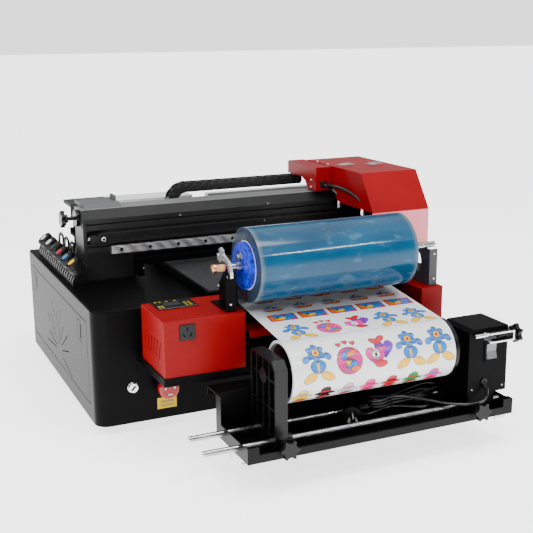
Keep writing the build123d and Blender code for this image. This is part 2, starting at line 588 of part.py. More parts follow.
def web_line():
    """The film's underside: from the bed's front edge it runs straight, tangent to the take-up roll."""
    edge = (PLATEN_Y0 - 1, PLATEN_TOP + 0.3)
    reach_y, reach_z = edge[0] - TAKEUP_Y, edge[1] - TAKEUP_Z
    radius = TAKEUP_R + 0.3
    normal = math.atan2(reach_z, reach_y) + math.acos(radius / math.hypot(reach_y, reach_z))
    up = (math.cos(normal), math.sin(normal))
    touch = (TAKEUP_Y + radius * up[0], TAKEUP_Z + radius * up[1])
    return edge, touch, up


def nip_axis(upper):
    """Where the nip roller above or below the film turns, square to the film's line."""
    edge, touch, up = web_line()
    share = (NIP_Y - touch[0]) / (edge[0] - touch[0])
    film_z = touch[1] + share * (edge[1] - touch[1])
    away = WEB_T + NIP_GAP + NIP_UPPER_R if upper else -(NIP_GAP + NIP_LOWER_R)
    return NIP_Y + away * up[0], film_z + away * up[1]


def nip_side_plates():
    """The two plates that hold the nip rollers' journals."""
    plates = []
    outline = ((-157, BOX_Z0), (-157, 188), (-112, 196), (-100, 266), (-44, 266), (-40, BOX_Z0))
    for x in SIDE_PLATE_X:
        plate = plate_yz(outline, x, x + SIDE_PLATE_T)
        for upper, journal in ((False, LOWER_JOURNAL_R), (True, UPPER_JOURNAL_R)):
            plate -= rod_x(*nip_axis(upper), journal + RUNNING_FIT, x - 5, x + 9)
        plates.append(plate)
    return plates


def nip_roller(upper, radius, journal):
    """A rubber nip roller on its steel journals."""
    x0, x1 = SIDE_PLATE_X[0] + SIDE_PLATE_T, SIDE_PLATE_X[1]
    roller = rod_x(*nip_axis(upper), radius, x0 + 1.5, x1 - 1.5)
    return roller + rod_x(*nip_axis(upper), journal, x0 - 3.5, x1 + 3.5)


def power_outlet():
    """The three-pin outlet in the control cover's front."""
    body = block(SOCKET_X0 + 0.2, SOCKET_X1 - 0.2, BOX_Y0 - 1.5, BOX_Y0 + 24,
                 SOCKET_Z0 + 0.2, SOCKET_Z1 - 0.2)
    x, z = (SOCKET_X0 + SOCKET_X1) / 2, (SOCKET_Z0 + SOCKET_Z1) / 2
    body -= block(x - 1, x + 1, BOX_Y0 - 3, BOX_Y0 + 14, z + 3, z + 9)
    for side, turn in ((-6, -30), (6, 30)):
        pin = Rot(0, turn, 0) * Box(1.8, 32, 7)
        body -= Pos(x + side, BOX_Y0, z - 5) * pin
    return body


def control_panel():
    """The display and key pad on top of the control cover."""
    panel = block(97, 171, -86, -34, BOX_Z1, BOX_Z1 + 2.5)
    panel = chamfer(panel.faces().sort_by(Axis.Z)[-1].edges(), 1)
    return panel - block(112, 145, -74, -52, BOX_Z1 + 1.7, BOX_Z1 + 5)


LATCH_PIVOT_Y, LATCH_PIVOT_Z, LATCH_PIVOT_R = -155.0, 301.0, 3.0


def roll_stand(x, side):
    """A folded roll stand: a pierced upright, a front flange and a foot flange on one side."""
    outline = ((-148, BOX_Z1), (-148, STAND_TOP), (-112, STAND_TOP), (-96, 296), (-72, 270), (-72, BOX_Z1))
    stand = plate_yz(outline, x, x + SHEET)
    lens = Circle(26) & Pos(34, 0) * Circle(26)
    opening = Plane((x - 1, -127, 276), x_dir=(0, 1, 0), z_dir=(1, 0, 0)) * lens
    stand -= extrude(opening, amount=SHEET + 2)
    x0, x1 = (x - 17, x + SHEET) if side < 0 else (x, x + 17)
    stand += block(x0, x1, -148, -146, BOX_Z1, STAND_TOP)
    stand += block(x0, x1, -148, -72, BOX_Z1, BOX_Z1 + 2)
    if side < 0:
        ear = block(x0, x0 + 3, LATCH_PIVOT_Y - 4, -148, LATCH_PIVOT_Z - 4, LATCH_PIVOT_Z + 4)
        stand += ear - rod_x(LATCH_PIVOT_Y, LATCH_PIVOT_Z, LATCH_PIVOT_R + RUNNING_FIT, x0 - 1, x0 + 4)
    return stand - rod_x(ROLL_Y, ROLL_Z, SPINDLE_R + 0.08, x - 20, x + 20)


def stand_latch():
    """The white forked catch that hooks over the supply spindle on the left stand."""
    x0 = STAND_LEFT_X - 13
    outline = ((-152, 297), (-150, 301), (-149.2, 309), (-146, 316), (-136, 322), (-124, 324), (-112, 317),
               (-98, 320), (-98, 331), (-104, 327), (-112, 332), (-106, 339), (-112, 344), (-122, 340),
               (-124, 334), (-150, 326), (-160, 310), (-160, 299), (-157, 297))
    latch = plate_yz(outline, x0, x0 + 5)
    return latch + rod_x(LATCH_PIVOT_Y, LATCH_PIVOT_Z, LATCH_PIVOT_R, STAND_LEFT_X - 17, x0)


# ---- supply roll --------------------------------------------------------------------
def hollow_roll(y, z, r_in, r_out, x0, x1):
    """A tube along X."""
    return rod_x(y, z, r_out, x0, x1) - rod_x(y, z, r_in, x0 - 1, x1 + 1)


def supply_film():
    """The wound laminating film on its core."""
    return hollow_roll(ROLL_Y, ROLL_Z, CORE_R_IN, ROLL_R, ROLL_X0, ROLL_X1)


def supply_plugs():
    """The two blue core plugs, each a flange and a spigot, bored for the spindle."""
    pieces = []
    for x, side in ((ROLL_X0, -1), (ROLL_X1, 1)):
        a, b = sorted((x, x + 9 * side))
        c, d = sorted((x, x - 22 * side))
        plug = rod_x(ROLL_Y, ROLL_Z, CORE_R_IN + 3.5, a, b) + rod_x(ROLL_Y, ROLL_Z, CORE_R_IN, c, d)
        plug -= rod_x(ROLL_Y, ROLL_Z, SPINDLE_R, x - 40, x + 40)
        pieces.append(plug)
    return pieces


def supply_spindle():
    """The spindle through the supply roll, with a collar outside the left stand."""
    spindle = rod_x(ROLL_Y, ROLL_Z, SPINDLE_R, 179, 628)
    spindle += rod_x(ROLL_Y, ROLL_Z, SPINDLE_R + 2, 179, 185)
    return spindle + rod_x(ROLL_Y, ROLL_Z, SPINDLE_R + 3, 222, 230)


# ---- take-up unit -------------------------------------------------------------------
def takeup_frame():
    """The folded tray: back, floor, slotted lip, end cheeks and the hanger under the laminator."""
    cheek = ((TRAY_Y1, TRAY_REAR_Z), (TRAY_Y1, TRAY_Z), (TRAY_Y0, TRAY_Z), (TRAY_Y0, TRAY_TAB_Z),
             (TRAY_Y0 + 12, TRAY_TAB_Z), (TRAY_Y0 + 20, 64), (TRAY_Y1 - 22, 64), (TRAY_Y1 - 22, TRAY_REAR_Z))
    plates = [block(TRAY_X0, TRAY_X1, TRAY_Y0, TRAY_Y1, TRAY_Z, TRAY_Z + SHEET)]
    plates.append(block(TRAY_X0, TRAY_X1, TRAY_Y0, TRAY_Y0 + SHEET, TRAY_Z, TRAY_LIP_Z))
    plates.append(block(TRAY_X0, TRAY_X1, TRAY_Y1 - SHEET, TRAY_Y1, TRAY_Z, TRAY_REAR_Z))
    plates.append(block(TRAY_X0, TRAY_X1, TRAY_Y1 - 2, BASE_Y0, TRAY_REAR_Z - SHEET, TRAY_REAR_Z))
    plates.append(block(TRAY_X0, BASE_X1 - 2, BASE_Y0 - SHEET, BASE_Y0, 98, TRAY_REAR_Z))
    for x, tab_x in ((TRAY_X0, TRAY_X0), (TRAY_X1 - SHEET, TRAY_X1 - 20)):
        side = plate_yz(cheek, x, x + SHEET)
        for y in ROD_Y:
            side -= rod_x(y, ROD_Z, ROD_R, TRAY_X0 - 5, TRAY_X1 + 5)
        plates.append(side)
        plates.append(block(tab_x, tab_x + 20, TRAY_Y0, TRAY_Y0 + SHEET, TRAY_Z, TRAY_TAB_Z))
    return welded(*plates)


def takeup_rods():
    """The two guide rods, pressed in the tray's cheeks."""
    return [rod_x(y, ROD_Z, ROD_R, 92, TRAY_X1 + 6) for y in ROD_Y]


def takeup_support():
    """The moulded, ribbed left bearing of the take-up roll, bored for the guide rods."""
    outline = ((SUPPORT_Y0, SUPPORT_Z0), (SUPPORT_Y0, SUPPORT_Z1 - 14), (SUPPORT_Y0 + 14, SUPPORT_Z1),
               (SUPPORT_Y1 - 6, SUPPORT_Z1), (SUPPORT_Y1, SUPPORT_Z1 - 6), (SUPPORT_Y1, SUPPORT_Z0))
    body = plate_yz(outline, SUPPORT_X0, SUPPORT_X1)
    wall, rib, web_x = 4.0, 2.4, SUPPORT_X0 + 12
    inset = ((SUPPORT_Y0 + wall, 68), (SUPPORT_Y0 + wall, SUPPORT_Z1 - 17),
             (SUPPORT_Y0 + 16, SUPPORT_Z1 - wall), (SUPPORT_Y1 - 8, SUPPORT_Z1 - wall),
             (SUPPORT_Y1 - wall, SUPPORT_Z1 - 8), (SUPPORT_Y1 - wall, 68))
    body -= plate_yz(inset, SUPPORT_X0 - 1, web_x)
    for z in (111.5, TAKEUP_Z):
        body += block(SUPPORT_X0, web_x, SUPPORT_Y0 + wall, SUPPORT_Y1 - wall, z - rib / 2, z + rib / 2)
    for k in range(1, 4):
        y = SUPPORT_Y0 + k * (SUPPORT_Y1 - SUPPORT_Y0) / 4
        body += block(SUPPORT_X0, web_x, y - rib / 2, y + rib / 2, 68, SUPPORT_Z1 - wall)
    body += rod_x(TAKEUP_Y, TAKEUP_Z, 13, SUPPORT_X0, SUPPORT_X1)
    body -= rod_x(TAKEUP_Y, TAKEUP_Z, JOURNAL_R + RUNNING_FIT, SUPPORT_X0 + 3, SUPPORT_X1 + 1)
    body += rod_x(ROD_Y[0], ROD_Z, 10, SUPPORT_X1, SUPPORT_X1 + 13)
    for y in ROD_Y:
        body -= rod_x(y, ROD_Z, ROD_R + RUNNING_FIT, SUPPORT_X0 - 1, SUPPORT_X1 + 20)
    bore = KNOB_SHAFT_R + RUNNING_FIT
    return body - rod_y(SUPPORT_KNOB_X, FRONT_KNOB_Z, bore, SUPPORT_Y0 - 1, SUPPORT_Y0 + 6)


def front_knob(x):
    """A clamp knob on the front of the take-up unit; its screw stops short of the rod."""
    centre_y = -FRONT_MOST + KNOB_T * 0.3
    return star_knob((x, centre_y, FRONT_KNOB_Z), Rot(90, 0, 0), KNOB_SHAFT_R, 25.0)


def takeup_film():
    """The printed film wound on the take-up core."""
    return hollow_roll(TAKEUP_Y, TAKEUP_Z, TAKEUP_CORE_R, TAKEUP_R, WEB_X0, WEB_X1)


def takeup_hubs():
    """The take-up roll's plain left hub and its flanged, driven right hub."""
    left = rod_x(TAKEUP_Y, TAKEUP_Z, TAKEUP_CORE_R, WEB_X0 + 7, WEB_X0 + 30)
    left += rod_x(TAKEUP_Y, TAKEUP_Z, JOURNAL_R, SUPPORT_X1 - 18, WEB_X0 + 7)
    flange_x = WEB_X1 + 9
    right = rod_x(TAKEUP_Y, TAKEUP_Z, TAKEUP_CORE_R, WEB_X1 - 24, WEB_X1)
    right += rod_x(TAKEUP_Y, TAKEUP_Z, 51, WEB_X1, flange_x)
    right += rod_x(TAKEUP_Y, TAKEUP_Z, 30, flange_x, flange_x + 17)
    right += rod_x(TAKEUP_Y, TAKEUP_Z, JOURNAL_R, flange_x + 17, MOTOR_X0 + 12)
    for k in range(6):
        turn = math.radians(60 * k)
        y, z = TAKEUP_Y + 40 * math.cos(turn), TAKEUP_Z + 40 * math.sin(turn)
        right += rod_x(y, z, 4, flange_x, flange_x + 3)
    return [left, right]


SWITCH_X0, SWITCH_X1, SWITCH_Z0, SWITCH_Z1 = 619.0, 648.0, 136.0, 175.5
GLAND_X, GLAND_Z, GLAND_R = 621.0, 99.0, 5.0


def motor_box():
    """The take-up motor's case with a chamfered shoulder, on a block on the rods, and its switch frame."""
    outline = ((MOTOR_X0, MOTOR_Z0), (MOTOR_X0, MOTOR_Z1 - 6), (MOTOR_X0 + 8, MOTOR_Z1), (MOTOR_X1, MOTOR_Z1),
               (MOTOR_X1, MOTOR_Z0))
    plane = Plane((0, MOTOR_Y0, 0), x_dir=(1, 0, 0), z_dir=(0, -1, 0))
    profile = plane * make_face(Polyline(*outline, close=True))
    case = extrude(profile, amount=MOTOR_Y1 - MOTOR_Y0, dir=(0, 1, 0))
    case -= block(MOTOR_X0 + 6, MOTOR_X1 - 3, MOTOR_Y0 + 3, MOTOR_Y1 - 3, MOTOR_Z0 + 3, MOTOR_Z1 - 9)
    case += rod_x(TAKEUP_Y, TAKEUP_Z, 14, MOTOR_X0 + 5, MOTOR_X0 + 20)
    case -= rod_x(TAKEUP_Y, TAKEUP_Z, JOURNAL_R + RUNNING_FIT, MOTOR_X0 - 1, MOTOR_X0 + 16)
    case -= block(SWITCH_X0 + 2, SWITCH_X1 - 2, MOTOR_Y0 - 1, MOTOR_Y0 + 4, SWITCH_Z0 + 2, SWITCH_Z1 - 2)
    case += block(MOTOR_X0 + 2, 644, MOTOR_Y0, MOTOR_Y1 + 12, 44, MOTOR_Z0)
    for y in ROD_Y:
        case -= rod_x(y, ROD_Z, ROD_R, MOTOR_X0 - 5, MOTOR_X1)
    case -= rod_y(MOTOR_KNOB_X, FRONT_KNOB_Z, KNOB_SHAFT_R + RUNNING_FIT, MOTOR_Y0 - 1, MOTOR_Y0 + 4)
    return [case, switch_bezel()]


def switch_bezel():
    """The rocker switch's frame in the motor case."""
    bezel = block(SWITCH_X0, SWITCH_X1, MOTOR_Y0 - 2, MOTOR_Y0, SWITCH_Z0, SWITCH_Z1)
    bezel += block(SWITCH_X0 + 2.2, SWITCH_X1 - 2.2, MOTOR_Y0, MOTOR_Y0 + 16,
                   SWITCH_Z0 + 2.2, SWITCH_Z1 - 2.2)
    return bezel - block(SWITCH_X0 + 4, SWITCH_X1 - 4, MOTOR_Y0 - 3, MOTOR_Y0 + 12,
                         SWITCH_Z0 + 4, SWITCH_Z1 - 4)


ROCKER_Y, ROCKER_Z = MOTOR_Y0 + 4.0, (SWITCH_Z0 + SWITCH_Z1) / 2


def rocker_switch():
    """The rocker: a shallow V that tips about its middle."""
    half = (SWITCH_Z1 - SWITCH_Z0) / 2 - 6.25
    outline = ((MOTOR_Y0 - 5.5, ROCKER_Z - half), (MOTOR_Y0 - 1.5, ROCKER_Z), (MOTOR_Y0 - 2.5, ROCKER_Z + half),
               (MOTOR_Y0 + 2, ROCKER_Z + half), (MOTOR_Y0 + 6, ROCKER_Z), (MOTOR_Y0 + 2, ROCKER_Z - half))
    return plate_yz(outline, SWITCH_X0 + 4.5, SWITCH_X1 - 4.5)


SHAFT_Y, SHAFT_Z = MOTOR_Y0 - 8.5, 185.0


def brake_bracket():
    """The bright channel and rod across the top of the motor case's front."""
    channel = block(617, MOTOR_X1, MOTOR_Y0 - 19, MOTOR_Y0, 176, 194)
    channel -= block(616, MOTOR_X1 + 1, MOTOR_Y0 - 20, MOTOR_Y0 - 2, 178.5, 191.5)
    channel += rod_x(SHAFT_Y, 189, 3.5, 592, 617) + block(592, 617, SHAFT_Y, MOTOR_Y0, 188, 190)
    channel += block(MOTOR_X1 - 3, MOTOR_X1, MOTOR_Y0 - 19, MOTOR_Y0, 176, 194)
    return channel - rod_x(SHAFT_Y, SHAFT_Z, 4 + RUNNING_FIT, MOTOR_X1 - 8, MOTOR_X1 + 4)


def brake_knob():
    """The star knob at the right end of the bright channel."""
    knob = star_knob((MOTOR_X1 + 10.2, SHAFT_Y, SHAFT_Z), Rot(0, 90, 0), 4.0, 30.0)
    return knob + rod_x(SHAFT_Y, SHAFT_Z, 12, MOTOR_X1 + 0.4, MOTOR_X1 + 2.4)


def wing_screws():
    """Four wing screws under the tray's corners."""
    screws = []
    for x in (TRAY_X0 + 9, TRAY_X1 - 9):
        for y in (TRAY_Y0 + 25, ROD_Y[1] - 26):
            screw = rod_z(x, y, 3, 24, TRAY_Z) + rod_z(x, y, 5, 30, 35)
            screw += block(x - 10, x + 10, y - 1.2, y + 1.2, 21, 32)
            screw -= block(x - 4, x + 4, y - 3, y + 3, 19, 24)
            screws.append(screw)
    return screws


def film_web():
    """The printed film from the bed's front edge, through the nip and down to the take-up roll."""
    edge, touch, up = web_line()
    low = [(WEB_END_Y, edge[1]), edge, touch]
    high = [(touch[0] + WEB_T * up[0], touch[1] + WEB_T * up[1]), (edge[0], edge[1] + WEB_T)]
    high.append((WEB_END_Y, edge[1] + WEB_T))
    return plate_yz(low + high, WEB_X0, WEB_X1)


# ---- mains cord -----------------------------------------------------------------------
CORD_ROUTE = (
    (621, -322, 93), (621, -327.4, 85.8), (618, -331, 76.5), (609, -332.3, 68.7), (593, -330, 67),
    (572, -324, 67), (550, -309, 67), (532, -292, 67),
)
PLUG_CENTRE, PLUG_R, PLUG_T = (385.0, -262.0, 58.2), 17.0, 20.0
PLUG_TURN = -24.0  # the plug's face looks forward and a little to the left
HANK_Z0, HANK_Z1 = 60.3, 83.0


def corner_radii(points):
    """The largest arc that each corner's two runs leave room for, printed for the record."""
    radii = []
    for a, b, c in zip(points, points[1:], points[2:]):
        arrive, leave = Vector(*b) - Vector(*a), Vector(*c) - Vector(*b)
        half = math.radians(arrive.get_angle(leave)) / 2
        radii.append(0.45 * min(arrive.length, leave.length) / math.tan(half))
    print("cord corner radii", [round(r, 1) for r in radii])
    return radii


def mains_cord():
    """The cord from its gland, over the clamp screw and the front rod, to the hank."""
    path = FilletPolyline(*CORD_ROUTE, radius=corner_radii(CORD_ROUTE))
    tube = sweep(Plane(origin=path @ 0, z_dir=path % 0) * Circle(CORD_R), path=path)
    print("cord volume over section x length", tube.volume / (math.pi * CORD_R ** 2 * path.length))
    return tube


def cord_gland():
    """The elbowed gland on the motor case, turned down."""
    tip = Vector(*CORD_ROUTE[0])
    down = (tip - Vector(GLAND_X, MOTOR_Y0, GLAND_Z)).normalized()
    barrel = Plane(origin=tip - down * 12, z_dir=down) * Pos(0, 0, 6) * Cylinder(GLAND_R - 1, 12)
    barrel -= block(GLAND_X - 20, GLAND_X + 20, MOTOR_Y0, MOTOR_Y0 + 20, GLAND_Z - 20, GLAND_Z + 30)
    return barrel + rod_y(GLAND_X, GLAND_Z + 1, GLAND_R + 1, MOTOR_Y0 - 2, MOTOR_Y0)


def mains_plug():
    """The round three-pin plug, standing on its rim, with its cord outlet on its right."""
    body = Cylinder(PLUG_R, PLUG_T)
    body = fillet(body.edges().group_by(Axis.Z)[0], 4)
    body += Pos(0, 4, PLUG_T / 2 + 8) * Box(1.8, 6.5, 16)
    for side in (-1, 1):
        body += Pos(6.5 * side, -4, PLUG_T / 2 + 8) * Rot(0, 0, 30 * side) * Box(1.8, 6.5, 16)
    body += Pos(PLUG_R + 5, 0, 0) * Rot(0, 90, 0) * Cylinder(4, 12)
    return Pos(*PLUG_CENTRE) * Rot(0, 0, PLUG_TURN) * Rot(90, 0, 0) * body


def cord_hank():
    """The bundled rest of the cord, lying on both rods, with its tail to the plug."""
    z0, z1 = HANK_Z0, HANK_Z1
    outline = ((430, -285), (459, -276), (515, -304), (536, -304), (552, -262), (574, -226), (560, -219),
               (500, -240), (459, -252), (432, -238), (424, -262))
    face = Plane.XY.offset(z0) * make_face(Polyline(*outline, close=True))
    pad = extrude(fillet(face.vertices(), 3), amount=z1 - z0)
    turn = math.radians(PLUG_TURN)
    outlet = Vector(*PLUG_CENTRE) + Vector(math.cos(turn), math.sin(turn), 0) * (PLUG_R + 11)
    inside = Vector(436, -275, 65)
    tail = Plane(origin=outlet, z_dir=inside - outlet) * Pos(0, 0, (inside - outlet).length / 2)
    return pad + tail * Cylinder(CORD_R, (inside - outlet).length)


# ---- build --------------------------------------------------------------------------
os.makedirs("parts", exist_ok=True)
save("cabinet_shell", cabinet_shell())
save("cabinet_feet", *cabinet_feet())
save("side_door", side_door())
save("door_latch_front", door_latch(LATCH_Y[0]))
save("door_latch_rear", door_latch(LATCH_Y[1]))
save("key_lock_barrel", key_lock_barrel())
save("estop_base", estop_base())
save("estop_button", estop_button())
save("electronics", *electronics())
save("platen_rails", *platen_rails())
save("platen_top", platen_top())
save("platen_frame", platen_frame())
save("beam", beam())
save("beam_end_plates", *beam_end_plates())
save("x_rail", x_rail())
save("x_belt", x_belt())
save("idler_pulley", pulley(PULLEY_X, 2.5 + RUNNING_FIT))
save("belt_tensioner", belt_tensioner())
save("x_drive", x_drive())
save("tension_knob", tension_knob())
save("crossbar", crossbar())
save("rear_shelves", *rear_shelves())
save("ink_rack", ink_rack())
save("ink_bottles", *ink_bottles())
save("ink_hoses", *ink_hoses())
save("carriage_cover", carriage_cover())
save("carriage_plate", carriage_plate())
save("print_head", *print_head())
save("chain_upper", chain_upper())
save("chain_loop", chain_loop())
save("laminator_box_left", *laminator_box_left())
save("laminator_box_right", sheet_box(RIGHT_BOX_X0, RIGHT_BOX_X1))
save("laminator_base", laminator_base())
save("nip_side_plates", *nip_side_plates())
save("nip_roller_lower", nip_roller(False, NIP_LOWER_R, LOWER_JOURNAL_R))
save("nip_roller_upper", nip_roller(True, NIP_UPPER_R, UPPER_JOURNAL_R))
save("power_outlet", power_outlet())
save("control_panel", control_panel())
save("stand_left", roll_stand(STAND_LEFT_X, -1))
save("stand_right", roll_stand(STAND_RIGHT_X, 1))
save("stand_latch", stand_latch())
save("supply_film", supply_film())
save("supply_plugs", *supply_plugs())
save("supply_spindle", supply_spindle())
save("takeup_frame", *takeup_frame(), *wing_screws())
save("takeup_rods", *takeup_rods())
save("takeup_support", takeup_support())
save("support_knob", front_knob(SUPPORT_KNOB_X))
save("takeup_film", takeup_film())
save("takeup_hubs", *takeup_hubs())
save("motor_box", *motor_box())
save("motor_knob", front_knob(MOTOR_KNOB_X))
save("rocker_switch", rocker_switch())
save("brake_bracket", brake_bracket())
save("brake_knob", brake_knob())
save("film_web", film_web())
save("cord_gland", cord_gland())
save("mains_cord", mains_cord())
save("cord_hank", cord_hank())
save("mains_plug", mains_plug())
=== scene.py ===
import math

import bmesh
import bpy
from mathutils import Matrix, Vector


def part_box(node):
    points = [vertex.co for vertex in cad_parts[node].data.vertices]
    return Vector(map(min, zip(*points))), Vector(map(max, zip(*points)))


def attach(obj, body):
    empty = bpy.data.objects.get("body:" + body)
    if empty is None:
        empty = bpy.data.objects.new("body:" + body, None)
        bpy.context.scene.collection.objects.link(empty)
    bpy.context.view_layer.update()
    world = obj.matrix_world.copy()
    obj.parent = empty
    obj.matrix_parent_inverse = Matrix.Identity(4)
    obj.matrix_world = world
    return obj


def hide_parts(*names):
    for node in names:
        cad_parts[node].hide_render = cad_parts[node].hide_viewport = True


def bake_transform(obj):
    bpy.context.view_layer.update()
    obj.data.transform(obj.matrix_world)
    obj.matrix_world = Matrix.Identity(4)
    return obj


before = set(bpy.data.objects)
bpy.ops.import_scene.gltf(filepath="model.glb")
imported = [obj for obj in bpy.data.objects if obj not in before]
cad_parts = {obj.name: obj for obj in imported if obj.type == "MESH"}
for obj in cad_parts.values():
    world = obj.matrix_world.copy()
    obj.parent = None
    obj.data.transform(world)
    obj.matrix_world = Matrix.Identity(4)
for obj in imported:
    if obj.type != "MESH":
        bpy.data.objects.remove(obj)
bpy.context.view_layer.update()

# The looks of a flatbed UV printer with a film laminator. Places are given in millimetres in the
# cabinet's own frame (x from its left face, y from its front face, z from its floor sheet), and
# at() turns them into the model's metres.
ORIGIN = Vector((369.0, 113.5, -18.0))


def at(x, y, z):
    """A place in the cabinet's frame, in the model's metres."""
    return (Vector((x, y, z)) - ORIGIN) / 1000


# ---- camera -------------------------------------------------------------------------
def camera():
    """The photograph's view: from the front left, a little above."""
    lens = bpy.data.cameras.new("camera")
    lens.sensor_width = 36.0
    lens.lens = 66.1
    viewer = bpy.data.objects.new("camera", lens)
    viewer.location = (-0.7682, -1.7729, 0.7305)
    turn = Matrix.Rotation(math.radians(-24.06), 4, "Z") @ Matrix.Rotation(math.radians(76.34), 4, "X")
    viewer.rotation_euler = (turn @ Matrix.Rotation(math.radians(-0.5), 4, "Z")).to_euler()
    bpy.context.scene.collection.objects.link(viewer)
    bpy.context.scene.camera = viewer


# ---- materials ----------------------------------------------------------------------
def blank(name):
    """A new material, its node tree, its shader and the object's own coordinates."""
    material = bpy.data.materials.new(name)
    material.use_nodes = True
    tree = material.node_tree
    coords = tree.nodes.new("ShaderNodeTexCoord").outputs["Object"]
    return material, tree, tree.nodes["Principled BSDF"], coords


def noise(tree, coords, scale, detail=3.0, stretch=(1, 1, 1)):
    """Noise over the object, stretched along its axes."""
    mapping = tree.nodes.new("ShaderNodeMapping")
    mapping.inputs["Scale"].default_value = stretch
    tree.links.new(coords, mapping.inputs["Vector"])
    cloud = tree.nodes.new("ShaderNodeTexNoise")
    cloud.inputs["Scale"].default_value = scale
    cloud.inputs["Detail"].default_value = detail
    tree.links.new(mapping.outputs["Vector"], cloud.inputs["Vector"])
    return cloud.outputs["Fac"]


def spread(tree, value, low, high, start=0.35, end=0.65):
    """A value between start and end, moved to between low and high."""
    scale = tree.nodes.new("ShaderNodeMapRange")
    for name, number in (("From Min", start), ("From Max", end), ("To Min", low), ("To Max", high)):
        scale.inputs[name].default_value = number
    tree.links.new(value, scale.inputs["Value"])
    return scale.outputs["Result"]


def mix(tree, factor, low, high):
    """Two colours, each a plain colour or a socket, mixed by a socket."""
    blender = tree.nodes.new("ShaderNodeMix")
    blender.data_type = "RGBA"
    tree.links.new(factor, blender.inputs["Factor"])
    for name, colour in (("A", low), ("B", high)):
        socket = next(s for s in blender.inputs if s.name == name and s.type == "RGBA")
        if isinstance(colour, bpy.types.NodeSocket):
            tree.links.new(colour, socket)
        else:
            socket.default_value = (*colour, 1)
    return next(s for s in blender.outputs if s.type == "RGBA")


def relief(tree, shader, height, strength, depth=0.0002, edge=0.0):
    """Bump from a height, over edges that a small bevel softens."""
    bump = tree.nodes.new("ShaderNodeBump")
    bump.inputs["Strength"].default_value = strength
    bump.inputs["Distance"].default_value = depth
    tree.links.new(height, bump.inputs["Height"])
    if edge:
        bevel = tree.nodes.new("ShaderNodeBevel")
        bevel.samples = 3
        bevel.inputs["Radius"].default_value = edge
        tree.links.new(bevel.outputs["Normal"], bump.inputs["Normal"])
    tree.links.new(bump.outputs["Normal"], shader.inputs["Normal"])


def surface(name, colour, rough, metallic=0.0, mottle=0.12, patch=14.0, grain=0.15, fine=1400.0,
            rough_spread=0.07, coat=0.0, stretch=(1, 1, 1), edge=0.0, gloss=0.5):
    """A finish whose colour drifts over patches and whose grain shows in its gloss and relief."""
    material, tree, shader, coords = blank(name)
    patches = noise(tree, coords, patch, 5.0)
    grains = noise(tree, coords, fine, 2.0, stretch)
    dark = tuple(c * (1 - mottle) for c in colour)
    light = tuple(min(1.0, c * (1 + mottle)) for c in colour)
    tree.links.new(mix(tree, spread(tree, patches, 0, 1), dark, light), shader.inputs["Base Color"])
    roughness = spread(tree, grains, rough - rough_spread, rough + rough_spread)
    tree.links.new(roughness, shader.inputs["Roughness"])
    shader.inputs["Metallic"].default_value = metallic
    shader.inputs["Coat Weight"].default_value = coat
    shader.inputs["Coat Roughness"].default_value = 0.12
    shader.inputs["Specular IOR Level"].default_value = gloss
    relief(tree, shader, grains, grain, edge=edge)
    return material


def parts_of(tree, coords):
    """The x, y and z sockets of the coordinates."""
    split = tree.nodes.new("ShaderNodeSeparateXYZ")
    tree.links.new(coords, split.inputs["Vector"])
    return split.outputs["X"], split.outputs["Y"], split.outputs["Z"]


def step(tree, value, edge, width=0.0005):
    """0 below an edge and 1 above it."""
    return spread(tree, value, 0, 1, edge - width, edge + width)


def about_axis(tree, coords, y, z):
    """The distance from an axis along X through (y, z) in the cabinet's frame."""
    flat = tree.nodes.new("ShaderNodeMapping")
    place = at(0, y, z)
    flat.inputs["Location"].default_value = (0, -place.y, -place.z)
    flat.inputs["Scale"].default_value = (0, 1, 1)
    tree.links.new(coords, flat.inputs["Vector"])
    length = tree.nodes.new("ShaderNodeVectorMath")
    length.operation = "LENGTH"
    tree.links.new(flat.outputs["Vector"], length.inputs[0])
    return length.outputs["Value"]


ROLL_Y, ROLL_Z = -136.4, 313.6


